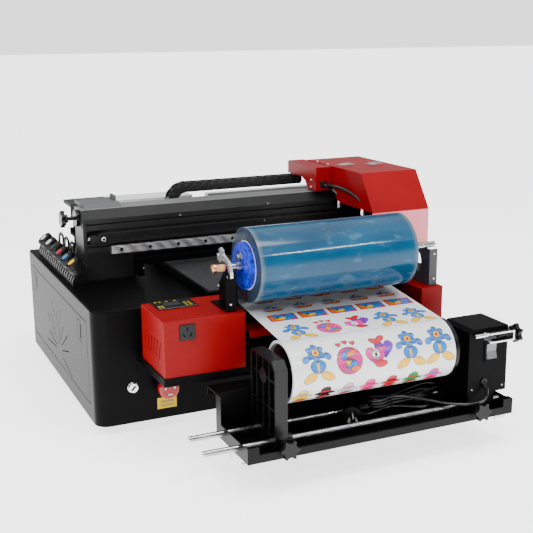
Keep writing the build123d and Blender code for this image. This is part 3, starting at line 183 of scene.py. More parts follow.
def blue_film():
    """Wound film: glossy blue with scuffs and flecks, dark layered ends and a white core."""
    material, tree, shader, coords = blank("blue_film")
    radius = about_axis(tree, coords, ROLL_Y, ROLL_Z)
    clouds = noise(tree, coords, 12.0, 7.0, (0.7, 1.3, 1.3))
    body = mix(tree, spread(tree, clouds, 0, 1, 0.3, 0.7), (0.001, 0.040, 0.095), (0.003, 0.075, 0.160))
    scuffs = noise(tree, coords, 44.0, 14.0, (0.6, 1.3, 1.3))
    rub = spread(tree, scuffs, 0, 0.35, 0.58, 0.74)
    body = mix(tree, rub, body, (0.10, 0.22, 0.31))
    flecks = noise(tree, coords, 420.0, 3.0, (0.5, 1, 1))
    body = mix(tree, spread(tree, flecks, 0, 0.3, 0.70, 0.76), body, (0.30, 0.40, 0.46))
    x = parts_of(tree, coords)[0]
    rim = tree.nodes.new("ShaderNodeMath")
    rim.operation = "ABSOLUTE"
    centred = tree.nodes.new("ShaderNodeMath")
    centred.operation = "SUBTRACT"
    centred.inputs[1].default_value = at(397, 0, 0).x
    tree.links.new(x, centred.inputs[0])
    tree.links.new(centred.outputs["Value"], rim.inputs[0])
    body = mix(tree, spread(tree, rim.outputs["Value"], 0, 0.85, 0.146, 0.153), body, (0.10, 0.14, 0.17))
    rings = tree.nodes.new("ShaderNodeTexNoise")
    rings.noise_dimensions = "1D"
    rings.inputs["Scale"].default_value = 1600.0
    tree.links.new(radius, rings.inputs["W"])
    ends = mix(tree, spread(tree, rings.outputs["Fac"], 0, 1), (0.006, 0.012, 0.022), (0.035, 0.055, 0.085))
    ends = mix(tree, step(tree, radius, 0.0436), (0.70, 0.71, 0.73), ends)
    colour = mix(tree, step(tree, radius, 0.0655), ends, body)
    tree.links.new(colour, shader.inputs["Base Color"])
    tree.links.new(spread(tree, scuffs, 0.10, 0.32, 0.4, 0.7), shader.inputs["Roughness"])
    shader.inputs["Specular IOR Level"].default_value = 0.15
    shader.inputs["Coat Weight"].default_value = 0.35
    shader.inputs["Coat Roughness"].default_value = 0.06
    relief(tree, shader, flecks, 0.18, 0.0003)
    return material


def carriage_red():
    """The carriage cover's red paint, with pale pink painted reflection on the lower part of its sloping
    front.
    """
    material, tree, shader, coords = blank("carriage_red")
    patches = noise(tree, coords, 9.0, 4.0)
    red = mix(tree, spread(tree, patches, 0, 1), (0.23, 0.0002, 0.0025), (0.28, 0.0003, 0.0035))
    height, front = parts_of(tree, coords)[2], parts_of(tree, coords)[1]
    # painted reflection: pale pink on the cover's front below z 344 and in front of y 47.5, standing in for
    # reflected light
    low = spread(tree, height, 1, 0, at(0, 0, 343).z, at(0, 0, 345).z)
    near = spread(tree, front, 1, 0, at(0, 47, 0).y, at(0, 48, 0).y)
    painted_reflection = tree.nodes.new("ShaderNodeMath")
    painted_reflection.operation = "MULTIPLY"
    tree.links.new(low, painted_reflection.inputs[0])
    tree.links.new(near, painted_reflection.inputs[1])
    tree.links.new(mix(tree, painted_reflection.outputs["Value"], red, (0.86, 0.27, 0.31)), shader.inputs["Base Color"])
    grains = noise(tree, coords, 1300.0, 2.0)
    tree.links.new(spread(tree, grains, 0.30, 0.40), shader.inputs["Roughness"])
    shader.inputs["Specular IOR Level"].default_value = 0.12
    relief(tree, shader, grains, 0.12, edge=0.0012)
    return material


def brushed(name, colour, along, rough=0.3):
    """Brushed metal whose lines run along one axis."""
    stretch = tuple(0.02 if axis == along else 1.0 for axis in "XYZ")
    return surface(name, colour, rough, 1.0, 0.15, 60.0, 0.25, 2600.0, 0.12, stretch=stretch, edge=0.0004)


def rear_finish():
    """The parts behind the beam: a dark shelf and ledge, a light cable cover, a near-white panel."""
    material, tree, shader, coords = blank("rear_finish")
    x, y, z = parts_of(tree, coords)
    patches = noise(tree, coords, 6.0, 4.0)
    shelf = mix(tree, spread(tree, patches, 0, 1), (0.11, 0.115, 0.12), (0.20, 0.205, 0.21))
    right = step(tree, x, at(150, 0, 0).x)
    base = mix(tree, right, (0.008, 0.008, 0.009), shelf)
    panel = mix(tree, right, (0.045, 0.046, 0.048), (0.72, 0.73, 0.72))
    cover = mix(tree, step(tree, z, at(0, 0, 359.7).z), base, (0.12, 0.122, 0.125))
    base = mix(tree, right, cover, base)
    tree.links.new(mix(tree, step(tree, y, at(0, 391, 0).y), base, panel), shader.inputs["Base Color"])
    grains = noise(tree, coords, 1300.0, 2.0)
    tree.links.new(spread(tree, grains, 0.5, 0.62), shader.inputs["Roughness"])
    shader.inputs["Specular IOR Level"].default_value = 0.04
    relief(tree, shader, grains, 0.15, edge=0.0006)
    return material


def rail_steel_and_sheen():
    """The ground rail: bright steel with a painted sheen that runs in slanting bands."""
    material, tree, shader, coords = blank("rail_steel_and_sheen")
    bands = tree.nodes.new("ShaderNodeTexWave")
    bands.bands_direction = "DIAGONAL"
    bands.inputs["Scale"].default_value = 22.0
    bands.inputs["Distortion"].default_value = 1.5
    bands.inputs["Detail"].default_value = 3.0
    tree.links.new(coords, bands.inputs["Vector"])
    # painted sheen: the wave bands lighten the base colour in slanting stripes
    colour = mix(tree, bands.outputs["Fac"], (0.34, 0.343, 0.35), (0.78, 0.785, 0.79))
    tree.links.new(colour, shader.inputs["Base Color"])
    shader.inputs["Metallic"].default_value = 0.85
    grains = noise(tree, coords, 2400.0, 2.0, (0.03, 1, 1))
    tree.links.new(spread(tree, grains, 0.22, 0.42), shader.inputs["Roughness"])
    relief(tree, shader, grains, 0.25, edge=0.0004)
    return material


def beam_paint_and_highlight():
    """Fine black texture paint on the beam, with a painted highlight in pale grey along its top."""
    material, tree, shader, coords = blank("beam_paint_and_highlight")
    patches = noise(tree, coords, 10.0, 5.0)
    paint = mix(tree, spread(tree, patches, 0, 1), (0.010, 0.010, 0.0105), (0.016, 0.016, 0.0165))
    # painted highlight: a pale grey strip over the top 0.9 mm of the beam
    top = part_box("beam")[1][2]
    painted_highlight = step(tree, parts_of(tree, coords)[2], top - 0.0009, 0.0003)
    tree.links.new(mix(tree, painted_highlight, paint, (0.16, 0.162, 0.165)), shader.inputs["Base Color"])
    grains = noise(tree, coords, 1700.0, 2.0)
    tree.links.new(spread(tree, grains, 0.28, 0.42), shader.inputs["Roughness"])
    shader.inputs["Specular IOR Level"].default_value = 0.2
    relief(tree, shader, grains, 0.32, edge=0.0006)
    return material


def tray_finish():
    """Black paint on the take-up tray, and bright steel on the wing screws below it."""
    material, tree, shader, coords = blank("tray_finish")
    patches = noise(tree, coords, 14.0, 5.0)
    paint = mix(tree, spread(tree, patches, 0, 1), (0.002, 0.002, 0.0022), (0.003, 0.003, 0.0033))
    above = step(tree, parts_of(tree, coords)[2], at(0, 0, 36.6).z)
    tree.links.new(mix(tree, above, (0.62, 0.63, 0.65), paint), shader.inputs["Base Color"])
    tree.links.new(spread(tree, above, 1, 0, 0, 1), shader.inputs["Metallic"])
    grains = noise(tree, coords, 1500.0, 2.0)
    tree.links.new(spread(tree, grains, 0.30, 0.42), shader.inputs["Roughness"])
    shader.inputs["Specular IOR Level"].default_value = 0.13
    relief(tree, shader, grains, 0.3, edge=0.0008)
    return material


MATERIALS = {
    "black_paint": surface("black_paint", (0.0017, 0.0017, 0.0019), 0.36, grain=0.3, fine=1500, edge=0.0009,
                           gloss=0.05),
    "beam_paint": beam_paint_and_highlight(),
    "tray_finish": tray_finish(),
    "rear_finish": rear_finish(),
    "red_paint": surface("red_paint", (0.23, 0.0001, 0.0016), 0.32, mottle=0.06, grain=0.15, edge=0.0012,
                         gloss=0.12),
    "carriage_red": carriage_red(),
    "grey_flange": surface("grey_flange", (0.035, 0.036, 0.038), 0.38, grain=0.25, edge=0.0005, gloss=0.4),
    "steel": brushed("steel", (0.36, 0.365, 0.38), "X", 0.22),
    "rail_steel": rail_steel_and_sheen(),
    "chrome": surface("chrome", (0.80, 0.80, 0.82), 0.10, 1.0, 0.03, grain=0.05, rough_spread=0.04,
                      edge=0.0004),
    "pin_metal": surface("pin_metal", (0.90, 0.90, 0.88), 0.3, 0.3, 0.05, 60.0, grain=0.1, edge=0.0003),
    "satin": surface("satin", (0.46, 0.46, 0.46), 0.26, 0.92, 0.12, 60.0, grain=0.2, edge=0.0006),
    "bed": surface("bed", (0.016, 0.017, 0.018), 0.42, 0.0, 0.2, 10.0, 0.35, 2200.0, edge=0.0004, gloss=0.35),
    "head": surface("head", (0.25, 0.26, 0.28), 0.35, 0.9, grain=0.2, edge=0.0005),
    "black_plastic": surface("black_plastic", (0.0026, 0.0026, 0.003), 0.28, grain=0.18, fine=1100,
                             edge=0.0008,
                             gloss=0.25),
    "chain_plastic": surface("chain_plastic", (0.018, 0.018, 0.019), 0.33, grain=0.2, fine=1100, edge=0.0003,
                             gloss=0.35),
    "stop_red": surface("stop_red", (0.30, 0.0004, 0.003), 0.2, mottle=0.05, grain=0.04, coat=0.1,
                        edge=0.0006),
    "hose": surface("hose", (0.03, 0.031, 0.033), 0.2, mottle=0.1, grain=0.05, coat=0.2),
    "rubber": surface("rubber", (0.008, 0.008, 0.008), 0.5, grain=0.3, fine=900, gloss=0.3),
    "roller": surface("roller", (0.05, 0.052, 0.055), 0.5, grain=0.25, fine=1600),
    "flex": surface("flex", (0.005, 0.005, 0.0055), 0.20, mottle=0.2, patch=40, grain=0.1, fine=700,
                    coat=0.2),
    "board": surface("board", (0.02, 0.13, 0.05), 0.4, mottle=0.3, patch=70, grain=0.2),
    "white_plastic": surface("white_plastic", (0.70, 0.70, 0.69), 0.25, mottle=0.05, grain=0.12, edge=0.0006),
    "blue_plug": surface("blue_plug", (0.003, 0.020, 0.50), 0.32, mottle=0.7, patch=160, grain=0.5, fine=500,
                         edge=0.0006),
    "printed_film": surface("printed_film", (0.80, 0.81, 0.82), 0.22, mottle=0.02, patch=8, grain=0.05,
                            fine=300,
                            coat=0.3),
    "blue_film": blue_film(),
    "rocker": surface("rocker", (0.13, 0.135, 0.14), 0.2, mottle=0.15, grain=0.1, coat=0.4, edge=0.0006),
    "label": surface("label", (0.62, 0.40, 0.0), 0.4, mottle=0.06, grain=0.1, gloss=0.1),
    "navy": surface("navy", (0.02, 0.03, 0.10), 0.35, mottle=0.1, grain=0.1),
    "display": surface("display", (0.035, 0.045, 0.042), 0.12, mottle=0.1, grain=0.03, coat=0.5),
    "key": surface("key", (0.50, 0.40, 0.03), 0.3, mottle=0.1, grain=0.1),
    "brass": surface("brass", (0.50, 0.26, 0.12), 0.28, 1.0, grain=0.1, edge=0.0003),
    "pink": surface("pink", (0.62, 0.16, 0.17), 0.3, mottle=0.1, grain=0.1),
}


def dress(material, *nodes):
    """Give CAD nodes a finish in place of their plain one."""
    for name in nodes:
        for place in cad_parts[name].material_slots:
            place.material = MATERIALS[material]


def dress_nodes():
    """Every CAD node that stays in sight."""
    dress("black_paint", "cabinet_shell", "side_door", "door_latch_front", "door_latch_rear",
          "laminator_base",
          "nip_side_plates", "stand_left", "motor_box", "platen_frame", "x_drive", "carriage_plate",
          "crossbar")
    dress("beam_paint", "beam", "beam_end_plates")
    dress("grey_flange", "stand_right")
    dress("rear_finish", "rear_shelves")
    dress("tray_finish", "takeup_frame")
    dress("red_paint", "laminator_box_left", "laminator_box_right")
    dress("carriage_red", "carriage_cover")
    dress("steel", "platen_rails", "supply_spindle", "takeup_rods")
    dress("chrome", "brake_bracket")
    dress("rail_steel", "x_rail")
    dress("chrome", "key_lock_barrel")
    dress("bed", "platen_top")
    dress("head", "print_head")
    dress("black_plastic", "cabinet_feet", "estop_base", "takeup_support", "tension_knob", "support_knob",
          "motor_knob", "brake_knob", "power_outlet", "takeup_hubs", "mains_plug", "cord_gland",
          "control_panel",
          "ink_rack", "belt_tensioner", "idler_pulley")
    dress("stop_red", "estop_button")
    dress("hose", "ink_hoses")
    dress("rubber", "x_belt")
    dress("roller", "nip_roller_lower", "nip_roller_upper")
    dress("board", "electronics")
    dress("satin", "stand_latch")
    dress("blue_plug", "supply_plugs")
    dress("printed_film", "film_web")
    dress("blue_film", "supply_film")
    dress("rocker", "rocker_switch")


# ---- mesh helpers -------------------------------------------------------------------
def piece(name, shape, material, body, sharp=35):
    """A new piece of the object from a bmesh, riding on a CAD body if one is named."""
    mesh = bpy.data.meshes.new(name)
    shape.to_mesh(mesh)
    shape.free()
    for face in mesh.polygons:
        face.use_smooth = True
    mesh.set_sharp_from_angle(angle=math.radians(sharp))
    mesh.materials.append(MATERIALS[material])
    made = bpy.data.objects.new(name, mesh)
    bpy.context.scene.collection.objects.link(made)
    if body:
        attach(made, body)
    return made


def facing(place, direction):
    """A matrix that puts local Z along a direction at a place."""
    turn = Vector(direction).to_track_quat("Z", "Y").to_matrix().to_4x4()
    return Matrix.Translation(place) @ turn


def lathe(shape, profile, place, count=40, hollow=False):
    """Turn a (radius, height) profile in millimetres about local Z, capped or closed into a ring."""
    rings = []
    for radius, height in profile:
        ring = []
        for k in range(count):
            turn = 2 * math.pi * k / count
            spot = Vector((radius * math.cos(turn), radius * math.sin(turn), height)) / 1000
            ring.append(shape.verts.new(place @ spot))
        rings.append(ring)
    for low, high in zip(rings, rings[1:]):
        for k in range(count):
            shape.faces.new((low[k], low[(k + 1) % count], high[(k + 1) % count], high[k]))
    if hollow:
        for k in range(count):
            shape.faces.new((rings[-1][k], rings[-1][(k + 1) % count], rings[0][(k + 1) % count],
                             rings[0][k]))
        return
    shape.faces.new(list(reversed(rings[0])))
    shape.faces.new(rings[-1])


def slab(shape, low, high, edge, place=Matrix.Identity(4)):
    """A box between two corners in millimetres, with softened edges."""
    size = Vector(high) - Vector(low)
    middle = (Vector(high) + Vector(low)) / 2
    made = bmesh.ops.create_cube(shape, size=1.0)["verts"]
    for vert in made:
        vert.co = Vector(a * b for a, b in zip(vert.co, size)) / 1000 + middle / 1000
    edges = list({e for v in made for e in v.link_edges})
    cut = bmesh.ops.bevel(shape, geom=edges + made, offset=edge / 1000, segments=2, affect="EDGES")
    for vert in {v for v in made if v.is_valid} | {v for f in cut["faces"] for v in f.verts}:
        vert.co = place @ vert.co


def prism(shape, outline, depth, place):
    """A flat outline in millimetres in local XY, raised along local Z."""
    low = [shape.verts.new(place @ (Vector((x, y, 0)) / 1000)) for x, y in outline]
    high = [shape.verts.new(place @ (Vector((x, y, depth)) / 1000)) for x, y in outline]
    shape.faces.new(list(reversed(low)))
    shape.faces.new(high)
    for k in range(len(outline)):
        after = (k + 1) % len(outline)
        shape.faces.new((low[k], low[after], high[after], high[k]))


def screw_head(shape, place, direction, radius=3.2):
    """A domed socket screw."""
    seat = facing(place, direction)
    lathe(shape, ((radius, -1), (radius, 1.4), (radius * 0.8, 2.2), (radius * 0.5, 2.4),
                  (radius * 0.5, 1.2)), seat, 20)


def line(name, points, radius, material, body, radii=None):
    """A smooth round cable through control points in the cabinet's frame."""
    curve = bpy.data.curves.new(name, "CURVE")
    curve.dimensions = "3D"
    curve.bevel_depth = radius / 1000
    curve.bevel_resolution = 5
    curve.resolution_u = 8
    curve.use_fill_caps = True
    spline = curve.splines.new("NURBS")
    spline.points.add(len(points) - 1)
    for k, place in enumerate(points):
        spline.points[k].co = (*at(*place), 1)
        spline.points[k].radius = radii[k] if radii else 1.0
    spline.order_u = 3
    spline.use_endpoint_u = True
    curve.materials.append(MATERIALS[material])
    made = bpy.data.objects.new(name, curve)
    bpy.context.scene.collection.objects.link(made)
    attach(made, body)
    return made


# ---- mains cord ---------------------------------------------------------------------
CORD_R = 2.5
CORD_ROUTE = (
    (621, -322, 93), (621, -327.4, 85.8), (618, -331, 76.5), (609, -332.3, 68.7), (593, -330, 67),
    (572, -324, 67), (550, -309, 67), (532, -292, 69),
    # over the bundle to the tie, then three turns from the top one down
    (507, -278, 74), (482, -271, 79.5), (459, -267.5, 81),
    (438, -276, 80.3), (421, -274, 79.8), (416, -262, 79.3), (423, -250, 78.6), (438, -249, 78),
    (459, -258.5, 77.5),
    (497, -247, 77), (535, -232, 76.4), (560, -227, 75.8), (575, -234, 75.4), (573, -248, 75.2),
    (555, -257, 75.2),
    (525, -263, 75.2), (490, -268, 75.2), (459, -267.5, 75),
    (440, -275, 74.8), (424, -274, 74.4), (418, -263, 74), (424, -251, 73.4), (438, -250, 72.8),
    (459, -258.5, 72),
    (495, -252, 71.4), (525, -241, 70.8), (546, -238, 70.2), (558, -246, 69.8), (554, -258, 69.6),
    (535, -264, 69.4),
    (500, -267, 69.2), (459, -267.5, 69),
    (441, -275, 69), (426, -273, 68.8), (420, -262, 68.3), (426, -251, 67.6), (439, -251, 67),
    (459, -258.5, 66.2),
    (490, -258, 65.6), (512, -264, 65), (526, -276, 64.4), (525, -291, 63.8), (511, -297, 63.4),
    (494, -288, 63.2),
    (476, -275, 63), (459, -268, 63),
    (438, -269.5, 62), (424, -272.5, 59.8), (410.6, -273.4, 58.2),
)


def mains_cord():
    """The flex from its gland over the clamp screw to a tied bundle and the plug."""
    cord = line("mains_flex", CORD_ROUTE, CORD_R, "flex", "cabinet")
    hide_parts("mains_cord", "cord_hank")
    relief_route = ((621, -317.5, 96), (621, -322, 93), (621, -327.4, 85.8), (618, -331, 76.5))
    sleeve = line("flex_sleeve", relief_route, CORD_R, "black_plastic", "cabinet",
                  (1.9, 1.75, 1.5, 1.15))
    tie_route = ((459, -264, 60.2), (459.4, -271.4, 61), (459.8, -272, 72), (459.4, -271, 84.3),
                 (459, -263, 84.6),
                 (458.6, -255.4, 83), (458.2, -254.8, 72), (458.6, -255.4, 61), (459, -262, 60.2))
    tie = line("flex_tie", tie_route, 0.9, "black_plastic", "cabinet")
    pins = bmesh.new()
    base = Matrix.Translation(at(385, -262, 58.2)) @ Matrix.Rotation(math.radians(-24), 4, "Z")
    base = base @ Matrix.Rotation(math.radians(90), 4, "X")
    slab(pins, (-1.0, 0.6, 10), (1.0, 7.4, 26.1), 0.4, base)
    for side in (-1, 1):
        seat = base @ Matrix.Translation((0.0065 * side, -0.004,
                                          0)) @ Matrix.Rotation(math.radians(30 * side), 4, "Z")
        slab(pins, (-1.0, -3.4, 10), (1.0, 3.4, 26.1), 0.4, seat)
    blades = piece("plug_blades", pins, "pin_metal", "cabinet")
    face = bmesh.new()
    lathe(face, ((13.6, 9.9), (13.6, 10.5), (12.9, 10.9), (12.2, 10.5), (12.2, 9.9)), base, 40)
    rim = piece("plug_face_ring", face, "black_plastic", "cabinet")


# ---- cable chain --------------------------------------------------------------------
CHAIN_Y0, CHAIN_Y1, CHAIN_H, CHAIN_R, CHAIN_Z, CHAIN_LOOP_X = 342.0, 368.0, 21.0, 35.0, 377.5, 307.0
LINK = 19.5


def chain_link(shape, place, shift):
    """One link: two round-ended cheeks with pin bosses, joined by a bar above and a bar below."""
    reach, half = LINK / 2, CHAIN_H / 2
    outline = []
    for side in (1, -1):
        for k in range(9):
            turn = math.pi * (k / 8 - 0.5) if side > 0 else math.pi * (k / 8 + 0.5)
            outline.append((side * reach + 0.55 * half * math.cos(turn), half * math.sin(turn)))
    for y in (CHAIN_Y0 + shift, CHAIN_Y1 - shift - 2.4):
        prism(shape, outline, 2.4, place @ Matrix.Translation((0, (y + 2.4) / 1000, 0))
              @ Matrix.Rotation(math.radians(90), 4, "X"))
        for side in (-1, 1):
            boss = place @ Matrix.Translation((side * reach / 1000, (y + 1.2) / 1000, 0))
            boss = boss @ Matrix.Rotation(math.radians(90), 4, "X")
            lathe(shape, ((6.2, -1.9), (6.2, 1.5), (5.6, 2.0), (4.4, 2.0), (4.0, 1.0), (2.6, 1.0),
                          (2.2, 2.2)), boss, 18)
    for z in (-half + 1, half - 3):
        slab(shape, (-4.2, CHAIN_Y0 + shift, z), (4.2, CHAIN_Y1 - shift, z + 2), 0.5, place)


def chain_place(x, z, tilt):
    """The matrix of a link whose middle is at (x, z) in the cabinet's frame."""
    spot = at(x, 0, z)
    return Matrix.Translation(spot) @ Matrix.Rotation(tilt, 4, "Y")


def cable_chain():
    """The upper run, and the half-turn with the lower run."""
    upper = bmesh.new()
    for k in range(14):
        chain_link(upper, chain_place(CHAIN_LOOP_X + LINK * (k + 0.5), CHAIN_Z, 0), 0.4 + 0.9 * (k % 2))
    top = piece("chain_links_upper", upper, "chain_plastic", None)
    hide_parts("chain_upper")
    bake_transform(top)
    lower = bmesh.new()
    centre_z = CHAIN_Z - CHAIN_R
    for k in range(6):
        turn = math.pi * (k + 0.5) / 6
        x = CHAIN_LOOP_X - CHAIN_R * math.sin(turn)
        z = centre_z + CHAIN_R * math.cos(turn)
        chain_link(lower, chain_place(x, z, -turn), 0.4 + 0.9 * ((k + 1) % 2))
    for k in range(12):
        x = CHAIN_LOOP_X + LINK * (k + 0.5)
        chain_link(lower, chain_place(x, centre_z - CHAIN_R, 0), 0.4 + 0.9 * (k % 2))
    bottom = piece("chain_links_lower", lower, "chain_plastic", "cable_chain")
    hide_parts("chain_loop")


# ---- printed film -------------------------------------------------------------------
TAKEUP_Y, TAKEUP_Z = -268.0, 160.0
FILM_R, WOUND_R = 53.9, 52.8  # the printed face of the film as it leaves the roll, and on the roll
TANGENT = math.radians(96.5)  # where the film meets the roll, from +Y
INK = {
    "ink_blue": (0.015, 0.19, 0.62), "ink_yellow": (0.84, 0.47, 0.0), "ink_red": (0.55, 0.002, 0.012),
    "ink_pink": (0.74, 0.025, 0.26), "ink_purple": (0.15, 0.01, 0.45), "ink_orange": (0.80, 0.13, 0.0),
    "ink_green": (0.002, 0.20, 0.04), "ink_line": (0.008, 0.008, 0.01), "ink_grey": (0.42, 0.43, 0.45),
}


def film_point(x, s, lift):
    """A place on the film: s runs up the film from where it meets the roll, and round the roll below."""
    if s > 0:
        y = TAKEUP_Y + (FILM_R + lift) * math.cos(TANGENT) + s * math.sin(TANGENT)
        z = TAKEUP_Z + (FILM_R + lift) * math.sin(TANGENT) - s * math.cos(TANGENT)
        return at(x, y, z)
    turn = TANGENT - s / WOUND_R
    return at(x, TAKEUP_Y + (WOUND_R + lift) * math.cos(turn), TAKEUP_Z + (WOUND_R + lift) * math.sin(turn))


def around(outline, width):
    """The outline grown about its middle by a width, for a drawn edge."""
    cx = sum(p[0] for p in outline) / len(outline)
    cy = sum(p[1] for p in outline) / len(outline)
    grown = []
    for x, y in outline:
        reach = math.hypot(x - cx, y - cy) or 1
        grown.append((x + width * (x - cx) / reach, y + width * (y - cy) / reach))
    return grown


def disc(cx, cy, rx, ry, count=20, turn=0.0):
    """An ellipse's outline, leaning by a turn in degrees."""
    lean = math.radians(turn)
    points = []
    for k in range(count):
        a = 2 * math.pi * k / count
        x, y = rx * math.cos(a), ry * math.sin(a)
        points.append((cx + x * math.cos(lean) - y * math.sin(lean),
                       cy + x * math.sin(lean) + y * math.cos(lean)))
    return points


def heart(cx, cy, size):
    """A heart's outline."""
    points = []
    for k in range(28):
        a = 2 * math.pi * k / 28
        x = 16 * math.sin(a) ** 3
        y = 13 * math.cos(a) - 5 * math.cos(2 * a) - 2 * math.cos(3 * a) - math.cos(4 * a)
        points.append((cx - x * size / 17, cy + y * size / 17))
    return points


def star(cx, cy, outer, inner, count=5):
    """A star's outline."""
    points = []
    for k in range(2 * count):
        a = math.pi * k / count + math.pi / 2
        reach = outer if k % 2 == 0 else inner
        points.append((cx + reach * math.cos(a), cy + reach * math.sin(a)))
    return points


def flower(petal, middle, leaf):
    """A six-petalled flower with a bud over a striped cup and two broad leaves."""
    shapes = [(leaf, disc(-9, -16, 8, 4, turn=28)), (leaf, disc(10, -16, 8, 4, turn=-28))]
    shapes += [(petal, disc(0, -5, 8, 6.5)), (middle, disc(0, -5, 1.6, 6))]
    for k in range(6):
        a = math.radians(60 * k + 30)
        shapes.append((petal, disc(5.5 * math.cos(a), 9 + 5.5 * math.sin(a), 4.6, 3.2, 14, 60 * k + 30)))
    shapes += [(middle, disc(0, 9, 3.6, 3.6)), ("ink_red", disc(0, 9, 1.3, 1.3, 10))]
    return shapes + [(petal, disc(-12, 3, 4, 3, turn=30)), (petal, disc(12, 4, 4.4, 3, turn=-40))]


def boat(sail, hull, flag):
    """A sailing boat: two sails over a broad hull."""
    return [(hull, [(-14, -3), (14, -2), (9, -8), (-8, -8)]), (sail, [(-1, 9), (-12, 0), (-1, -1)]),
            (sail, [(1, 7), (11, 0), (1, -1)]), (flag, [(0, 9), (6, 10), (0, 11)]),
            (flag, disc(-3, -5, 2, 1.4, 10)),
            (flag, disc(4, -5, 2, 1.4, 10))]


def postcard(back, sun, hill):
    """A small framed picture: a sun over two hills."""
    return [("ink_red", [(-16, -8), (15, -9), (16, 8), (-15, 9)]),
            (back, [(-15, -6), (0, -7), (0, 7), (-14, 7)]),
            (hill, [(0, -7), (14, -6), (14, 6), (0, 7)]), ("ink_yellow", disc(-3, -1, 6, 5)),
            (sun, disc(-4, 4, 8, 3)),
            (sun, [(2, -6), (13, -5), (9, 1), (6, -2)]), ("ink_line", disc(-6, 0, 1.5, 1.6, 10))]


def balloon(skin, mark):
    """A round balloon with a blue and orange pennant, under three little hearts."""
    return [(skin, disc(0, -4, 14, 14, 28)), (mark, disc(-3, 2, 7, 4, turn=30)),
            (mark, disc(2, -8, 7, 5, turn=-20)),
            ("ink_orange", disc(3, 3, 6, 2.6, turn=20)), ("ink_orange", disc(6, -13, 5, 2.4)),
            ("ink_yellow", star(-2, -6, 4.4, 2)), ("ink_red", heart(-8, 14, 3)), ("ink_red", heart(0, 16, 3)),
            ("ink_red", heart(8, 14, 3))]


def hearts(left, right):
    """Two leaning hearts under a red ribbon."""
    return [(right, heart(6, 3, 11)), (left, heart(-5, -3, 12)), ("ink_red", disc(-3, 12, 6, 3, turn=-30)),
            ("ink_red", disc(4, 14, 6, 3, turn=30)), ("ink_red", disc(0, -12, 7, 3.4)),
            ("ink_pink", star(4, 3, 4.4, 2)), ("printed_film", disc(-5, -2, 4.4, 4.6)),
            ("ink_line", disc(-5, -2, 1, 1, 8))]


def hat(crown, band):
    """A brimmed hat with a band over a round patch of its own colour."""
    return [(crown, disc(0, -8, 9, 5)), ("ink_red", disc(0, -8, 6, 2.6)), (crown, disc(0, 0, 13, 3.2)),
            (crown, disc(0, 5.5, 6.2, 5)), (band, [(-6.2, 2), (6.2, 2), (6.2, 4.6), (-6.2, 4.6)])]


def motif_rows():
    """The printed rows: distance up the film, size, first place and pitch across it, and the motifs."""
    blue = flower("ink_blue", "ink_yellow", "ink_yellow")
    sail = boat("ink_blue", "ink_orange", "ink_yellow")
    card = postcard("ink_orange", "ink_blue", "ink_blue")
    wide = [blue, balloon("ink_pink", "ink_blue"), hearts("ink_pink", "ink_purple"), blue, blue]
    hats = [hat(crown, band) for crown, band in (
        ("ink_yellow", "ink_blue"), ("ink_line", "ink_red"), ("ink_grey", "ink_pink"),
        ("ink_pink", "ink_red"),
        ("ink_red", "ink_line"), ("ink_green", "ink_red"), ("ink_pink", "ink_blue"))]
    return (
        (178, 1.5, 290, 57.5, [sail] * 5), (137, 1.5, 290, 57.5, [sail] * 5),
        (95, 1.6, 291, 58.5, [card] * 5),
        (34, 1.5, 289, 58.5, wide), (-50, 1.65, 291, 58.5, wide), (-112, 1.45, 265, 42, hats),
        (-155, 1.5, 290, 57.5, [sail] * 5), (-205, 1.5, 291, 58.5, [card] * 5),
    )


def add_print(shapes, colour, outline, x, s, size, lift):
    """Lay one printed outline on the film as a fan about its middle."""
    body = "takeup_roll" if s < 0 else "cabinet"
    shape = shapes.setdefault((colour, body), bmesh.new())
    cx = sum(p[0] for p in outline) / len(outline)
    cy = sum(p[1] for p in outline) / len(outline)

    def spot(px, py):
        return shape.verts.new(film_point(x + px * size, s + py * size, lift))
    reach = max(math.hypot(px - cx, py - cy) for px, py in outline) * size
    steps = math.ceil(reach / 4) if s < 0 else 1
    middle = spot(cx, cy)
    rings = []
    for share in (k / steps for k in range(1, steps + 1)):
        rings.append([spot(cx + (px - cx) * share, cy + (py - cy) * share) for px, py in outline])
    count = len(outline)
    for k in range(count):
        after = (k + 1) % count
        shape.faces.new((middle, rings[0][k], rings[0][after]))
        for inner, outer in zip(rings, rings[1:]):
            shape.faces.new((inner[k], outer[k], outer[after], inner[after]))


def printed_film():
    """The wound film and every motif on it, a piece for each ink on each body."""
    roll = bmesh.new()
    place = Matrix.Translation(at(245, TAKEUP_Y, TAKEUP_Z)) @ Matrix.Rotation(math.radians(90), 4, "Y")
    profile = [(48.0, 0)] + [(r, 0.3 * (k % 2)) for k, r in enumerate((49, 50, 51, 52))]
    profile += [(WOUND_R - 0.2, 0), (WOUND_R, 0.2), (WOUND_R, 311.8), (WOUND_R - 0.2, 312), (48.0, 312)]
    lathe(roll, profile, place, 120, hollow=True)
    wound = piece("takeup_film_wound", roll, "printed_film", "takeup_roll")
    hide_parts("takeup_film")
    for name, colour in INK.items():
        MATERIALS[name] = surface(name, colour, 0.28, mottle=0.10, patch=120, grain=0.08, fine=500)
    shapes = {}
    for s, size, first, pitch, motifs in motif_rows():
        for k, motif in enumerate(motifs):
            for layer, (colour, outline) in enumerate(motif):
                x = first + pitch * k
                add_print(shapes, "ink_line", around(outline, 0.55), x, s, size, 0.13 + 0.014 * layer)
                add_print(shapes, colour, outline, x, s, size, 0.137 + 0.014 * layer)
    for (colour, body), shape in shapes.items():
        piece(f"{colour}_on_{body}", shape, colour, body)


# ---- ink bottles --------------------------------------------------------------------
BOTTLE_X, BOTTLE_Z, BOTTLE_Y0, BOTTLE_PITCH, BOTTLE_LEAN = 17.0, 265.5, 207.0, 52.5, 37.0
CAP_MARKS = ("ink_yellow", "ink_blue", "ink_red", "ink_line", "white_plastic", "white_plastic")


